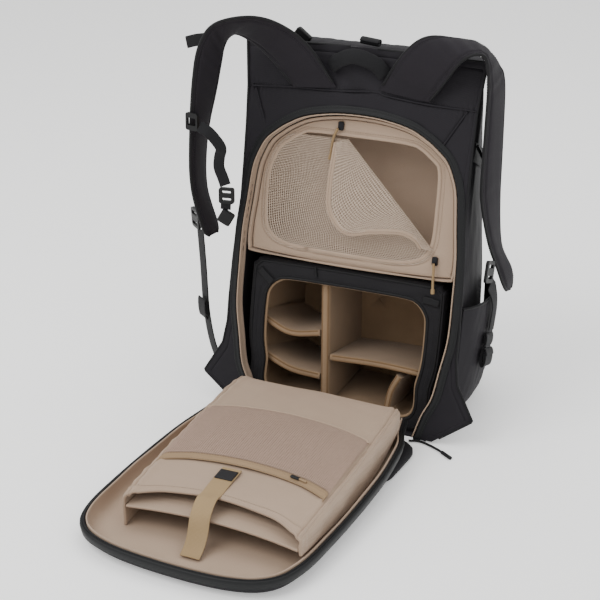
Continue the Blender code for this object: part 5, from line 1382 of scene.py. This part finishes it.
RIGHT_OUTER = by_share([
    (0.582, 0.026, 0.889), (0.676, 0.16, 0.929), (0.760, 0.24, 0.968), (0.860, 0.39, 1.012),
    (0.950, 0.43, 1.034), (1.025, 0.41, 1.036), (1.060, 0.36, 1.014), (1.072, 0.27, 0.955),
    (1.060, 0.16, 0.893), (1.040, -0.06, 0.719), (1.045, -0.12, 0.651), (1.068, -0.33, 0.566),
    (1.095, -0.54, 0.497), (1.118, -0.78, 0.440), (1.152, -1.02, 0.374), (1.162, -1.20, 0.345)])


def shoulder_strap(name, node, inner, outer, seed):
    """Oval rings between two edge lines: flat-topped, dented along a stitch line near each edge, with
    soft cross folds where the strap bends; and a binding tube down both edges."""
    count = 190
    a = smooth_line(smooth_line(inner, 25), count)
    b = smooth_line(smooth_line(outer, 25), count)
    middle, across = (a + b) / 2, b - a
    normal = unit(np.cross(across, np.gradient(middle, axis=0)))
    angle = np.linspace(0, 2 * math.pi, 72, endpoint=False)
    flat = squared(np.cos(angle), 0.75)
    rise = squared(np.sin(angle), 0.85)
    share = np.linspace(0, 1, count)
    taper = np.clip(np.minimum(share, 1 - share) / 0.08, 0.35, 1.0)
    stitch = 1 - 0.34 * bell(np.abs(flat), 0.80, 0.05)
    tangent = unit(np.gradient(middle, axis=0))
    bending = np.linalg.norm(np.gradient(tangent, axis=0), axis=1)
    bending = np.convolve(bending, np.ones(9) / 9, mode="same")
    folds = np.clip(bending * 4, 0, 0.13)[:, None] * np.sin(share * 120 + seed)[:, None]
    folds = 1 + folds * (np.abs(flat) < 0.9)
    uneven = 1 + 0.10 * ripple(share[:, None] * 3, flat[None] * 0.5, seed, 6.0)
    height = (STRAP_THICK / 2 * taper)[:, None] * (rise * stitch)[None] * folds * uneven
    rings = middle[:, None] + across[:, None] / 2 * flat[None, :, None] + normal[:, None] * height[..., None]
    made = dress(cloth_mesh(name, rings, STRAP_NYLON, round_columns=True, cap=True), "strap_nylon", node)
    for side, edge in (("inner", a), ("outer", b)):
        for face, away in (("front", 1), ("back", -1)):
            seam = edge + (middle - edge) * 0.20 + normal * away * (STRAP_THICK * 0.36 * taper)[:, None]
            stitches("_".join((name, "stitches", side, face)), seam[6:-6], normal[count // 2] * away,
                     DARK_THREAD, "strap_nylon", node)
        spot = edge + (middle - edge) * 0.035
        tube(name + "_binding_" + side, spot[2:-2], 0.0022, BINDING_BLACK, "strap_nylon", node, 8, 1.0,
             normal[count // 2])
    return a, b


left_edges = shoulder_strap("left_shoulder_strap", "shoulder_strap_left", LEFT_INNER, LEFT_OUTER, 0.4)
shoulder_strap("right_shoulder_strap", "shoulder_strap_right", RIGHT_INNER, RIGHT_OUTER, 1.3)


def on_strap(edges, share, across, lift, side):
    """A line over a padded strap and its facing: shares of its length and width, lifted off one side."""
    edge_a, edge_b = edges
    middle = (edge_a + edge_b) / 2
    wide = (edge_b - edge_a) / 2
    normal = unit(np.cross(wide, np.gradient(middle, axis=0))) * side
    line = middle + wide * across + normal * (STRAP_THICK / 2 + lift)
    at = np.asarray(share) * (len(middle) - 1)
    pick = np.arange(len(middle))
    return read_at(at, pick, line), read_at(at, pick, normal)


rail, rail_facing = on_strap(left_edges, np.linspace(0.50, 0.68, 8), -0.35, 0.0012, 1)
webbing("left_rail_webbing", "rail_webbing_left", rail, rail_facing, 0.010)
loop = [(-0.1890, -0.118, 0.521), (-0.2020, -0.118, 0.5185), (-0.2165, -0.118, 0.514)]
webbing("left_strap_loop", "strap_loop_left", loop, OUTWARD, 0.016, 0.003)

# Webbing of the harness on both sides: lower straps with their keepers and tails, sternum webbing
# with its end, and the compression strap, all the same ribbed black polyester.
web_left = [(-0.2195, -0.088, 0.241), (-0.214, -0.092, 0.189), (-0.2095, -0.096, 0.134),
            (-0.2045, -0.099, 0.105), (-0.1975, -0.102, 0.079), (-0.190, -0.104, 0.060)]
webbing("left_lower_webbing", "lower_webbing_left", web_left, (-0.6, -0.8, 0.0), 0.020)
webbing("left_strap_tab", "strap_tab_left",
        [(-0.2020, -0.1010, 0.2795), (-0.2100, -0.0985, 0.2765), (-0.2175, -0.0945, 0.2700)],
        (-0.4, -0.9, 0.0), 0.012)
sternum = [(-0.1822, -0.1530, 0.4125), (-0.168, -0.155, 0.407), (-0.158, -0.153, 0.396),
           (-0.152, -0.151, 0.385), (-0.156, -0.148, 0.372), (-0.157, -0.148, 0.358),
           (-0.151, -0.149, 0.344), (-0.147, -0.150, 0.3345)]
webbing("left_sternum_webbing", "sternum_webbing", sternum, (0.25, -0.9, 0.3), 0.015)
webbing("sternum_webbing_end", "sternum_web_end",
        [(-0.1463, -0.151, 0.3112), (-0.1465, -0.151, 0.3062), (-0.1468, -0.151, 0.3010)],
        (0.2, -1.0, 0.0), 0.014, step=0.001)
web_right = [(0.187, -0.0232, 0.2024), (0.1885, -0.008, 0.182), (0.1895, -0.004, 0.160),
             (0.1885, -0.012, 0.1285)]
webbing("right_lower_webbing", "lower_webbing_right", web_right, (1.0, 0.0, 0.0), 0.022)
compression = np.array([side_point(k, 0.391 - 0.06 * k, 0.0022) for k in np.linspace(0.03, 0.55, 7)])
webbing("right_compression_strap", "compression_strap_right", compression, (1.0, 0.0, 0.0), 0.025)


def wound(name, node, centre, right, up, width, height, depth, turns):
    """Webbing wound flat on itself: an oval spiral in depth and height, drawn across its width."""
    x = unit(np.asarray(right, float))
    z = unit(np.cross(x, np.asarray(up, float)))
    y = np.cross(z, x)
    t = np.linspace(0, 2 * math.pi * turns, int(44 * turns))
    grow = 0.30 + 0.70 * t / t[-1]
    route = (np.asarray(centre) + y * (np.cos(t) * grow * (height / 2 - 0.001))[:, None]
             + z * (np.sin(t) * (grow * depth / 2 - 0.0004))[:, None])
    k = np.linspace(-0.5, 0.5, 7) * width
    band = route[:, None] + x[None, None] * k[None, :, None]
    made = dress(cloth_mesh(name, band, BLACK_WEBBING, 0.0013, rim=0.0004), "black_webbing", node)


BESIDE_RIGHT = ((0.0, 1.0, -0.3), (0.0, 0.3, 1.0))
wound("left_webbing_keeper", "webbing_keeper_left", (-0.2120, -0.1004, 0.129),
      (0.8, -0.6, 0.0), (-0.1, 0.0, 1.0), 0.022, 0.036, 0.006, 1.6)
wound("right_webbing_keeper", "webbing_keeper_right", (0.187, -0.018, 0.118),
      *BESIDE_RIGHT, 0.032, 0.022, 0.006, 1.6)
wound("right_rolled_tail", "rolled_tail_right", (0.188, -0.026, 0.0925),
      *BESIDE_RIGHT, 0.034, 0.030, 0.010, 3.2)
wound("roll_keeper", "roll_strap_keeper", (0.003, -0.012, BODY_HEIGHT + ROLL_HEIGHT + 0.011),
      (1.0, 0.0, -0.1), (0.1, 0.0, 1.0), 0.026, 0.012, 0.018, 2.2)

# Grab handle: doubled black polyester webbing, arched between the roots of the shoulder straps and sewn
# into the yoke at both ends, with its middle thickened for the hand.
HANDLE_ROUTE = np.array([(-0.250, 0.951, 0.0030), (-0.17, 0.969, 0.011), (-0.03, 0.984, 0.017),
                         (0.13, 0.969, 0.011), (0.205, 0.942, 0.0030)])
handle = on_face(HANDLE_ROUTE[:, 0] * PANEL_HALF, HANDLE_ROUTE[:, 1] * PANEL_LENGTH, HANDLE_ROUTE[:, 2])
webbing("carry_handle", "grab_handle", smooth_line(handle, 13), (0.0, -0.95, 0.3), 0.020, 0.0025,
        camber=0.0022)

# Right side pocket: one slack piece of the shell's nylon, sewn to the bag along its sides and foot. Its
# top edge is bound in black tape and gapes open.
rows = []
for share in np.linspace(0, 1, 6):
    z = 0.008 + 0.172 * share
    row = []
    for i, k in enumerate(np.linspace(0.06, 0.92, 8)):
        swell = math.sin(math.pi * i / 7) ** 0.7 * min(1.0, 0.45 + share * 2.0)
        point = side_point(min(k, CORNER_START - 0.02), z - 0.018 * k * share, 0.0024 + 0.024 * swell)
        point[1] += max(0.0, k - CORNER_START + 0.02) * 0.10
        row.append(point)
    rows.append(row)
side_pocket = refine(rows, 70, 90)
v, u = shares(70, 90)
slack = 0.0022 * ripple(u * 2.4, v * 2.0, 0.9, 4.0) + 0.0006 * ripple(u * 3, v * 3, 1.9, 20.0)
side_pocket = lifted(side_pocket, slack * np.sin(math.pi * u) * ramp(v, 0.0, 0.1), -1.0)
held(cloth_mesh("right_side_pocket", side_pocket, SHELL_NYLON, 0.0016), "shell_nylon", "side_pocket_right")
tube("side_pocket_binding", even_line(side_pocket[-1], 90), 0.0020, BINDING_BLACK, "shell_nylon",
     "side_pocket_right", 8)

# Zip pulls: braided cords, tan ones that hang from the window's two sliders and the main zip's black
# one that lies on the floor. Each is tied through its slider and ends in a knot.
CORD_WIDTH = 0.0036

# Tan braid, whose strands show as a coarse weave
TAN_CORD = woven("tan_braided_cord", "A88E69", "80694A", 0.0009, 0.7, bump=0.6)


def window_pull(name, node, x, s, n):
    """A tan cord through points across and along the face, lifted off the window's panel."""
    line = smooth_line(on_face(x, s, FRONT_N + np.array(n)), 40)
    knotted = np.where(np.linspace(0, 1, 40) > 0.88, 0.0027, CORD_WIDTH / 2)
    cord = tube(name, line, knotted, TAN_CORD, "tan_webbing", node, 12, 1.0, OUTWARD)


window_pull("upper_cord", "window_pull_upper", [-0.031, -0.037, -0.0395], [0.4075, 0.392, 0.364],
            [0.0076, 0.0056, 0.0048])
window_pull("lower_cord", "window_pull_lower", [0.1225, 0.1235, 0.1245, 0.126], [0.2445, 0.234, 0.222, 0.204],
            [0.0076, 0.0080, 0.0096, 0.0096])
base_line = smooth_line([(0.118, -0.139, 0.0028), (0.134, -0.1345, 0.0024), (0.160, -0.145, 0.0024),
                         (0.186, -0.162, 0.0024)], 60)
base_radius = np.where(np.linspace(0, 1, 60) > 0.78, 0.0026, 0.0017)

# The same braid in black, a little smoother from use
BLACK_CORD = woven("black_braided_cord", "1A191B", "101011", 0.0009, 0.65, bump=0.6)
base_cord = tube("base_cord", base_line, base_radius, BLACK_CORD, "black_webbing", "base_zip_pull", 12)

# Moulded buckles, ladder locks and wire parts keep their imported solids, in satin black acetal and
# blackened wire. They are threaded on the webbing or run on the window's zip.

# Acetal: deep black with a soft broad gloss
BLACK_ACETAL = plain("black_acetal", "0D0D0E", 0.48, grain=0.0006)

# Steel wire under a thin black film, which gives narrow grey highlights
BLACKENED_WIRE = plain("blackened_wire", "303032", 0.35, metallic=1.0)
MOULDED = ("ladder_lock_left", "ladder_lock_right", "sternum_ladder_left", "sternum_adjuster",
           "sternum_buckle", "roll_strap_buckle", "compression_pull_right")
WIRE = ("compression_hook_right", "window_slider_upper", "window_slider_lower")
for names, finish in ((MOULDED, BLACK_ACETAL), (WIRE, BLACKENED_WIRE)):
    for name in names:
        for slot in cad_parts[name].material_slots:
            slot.material = finish
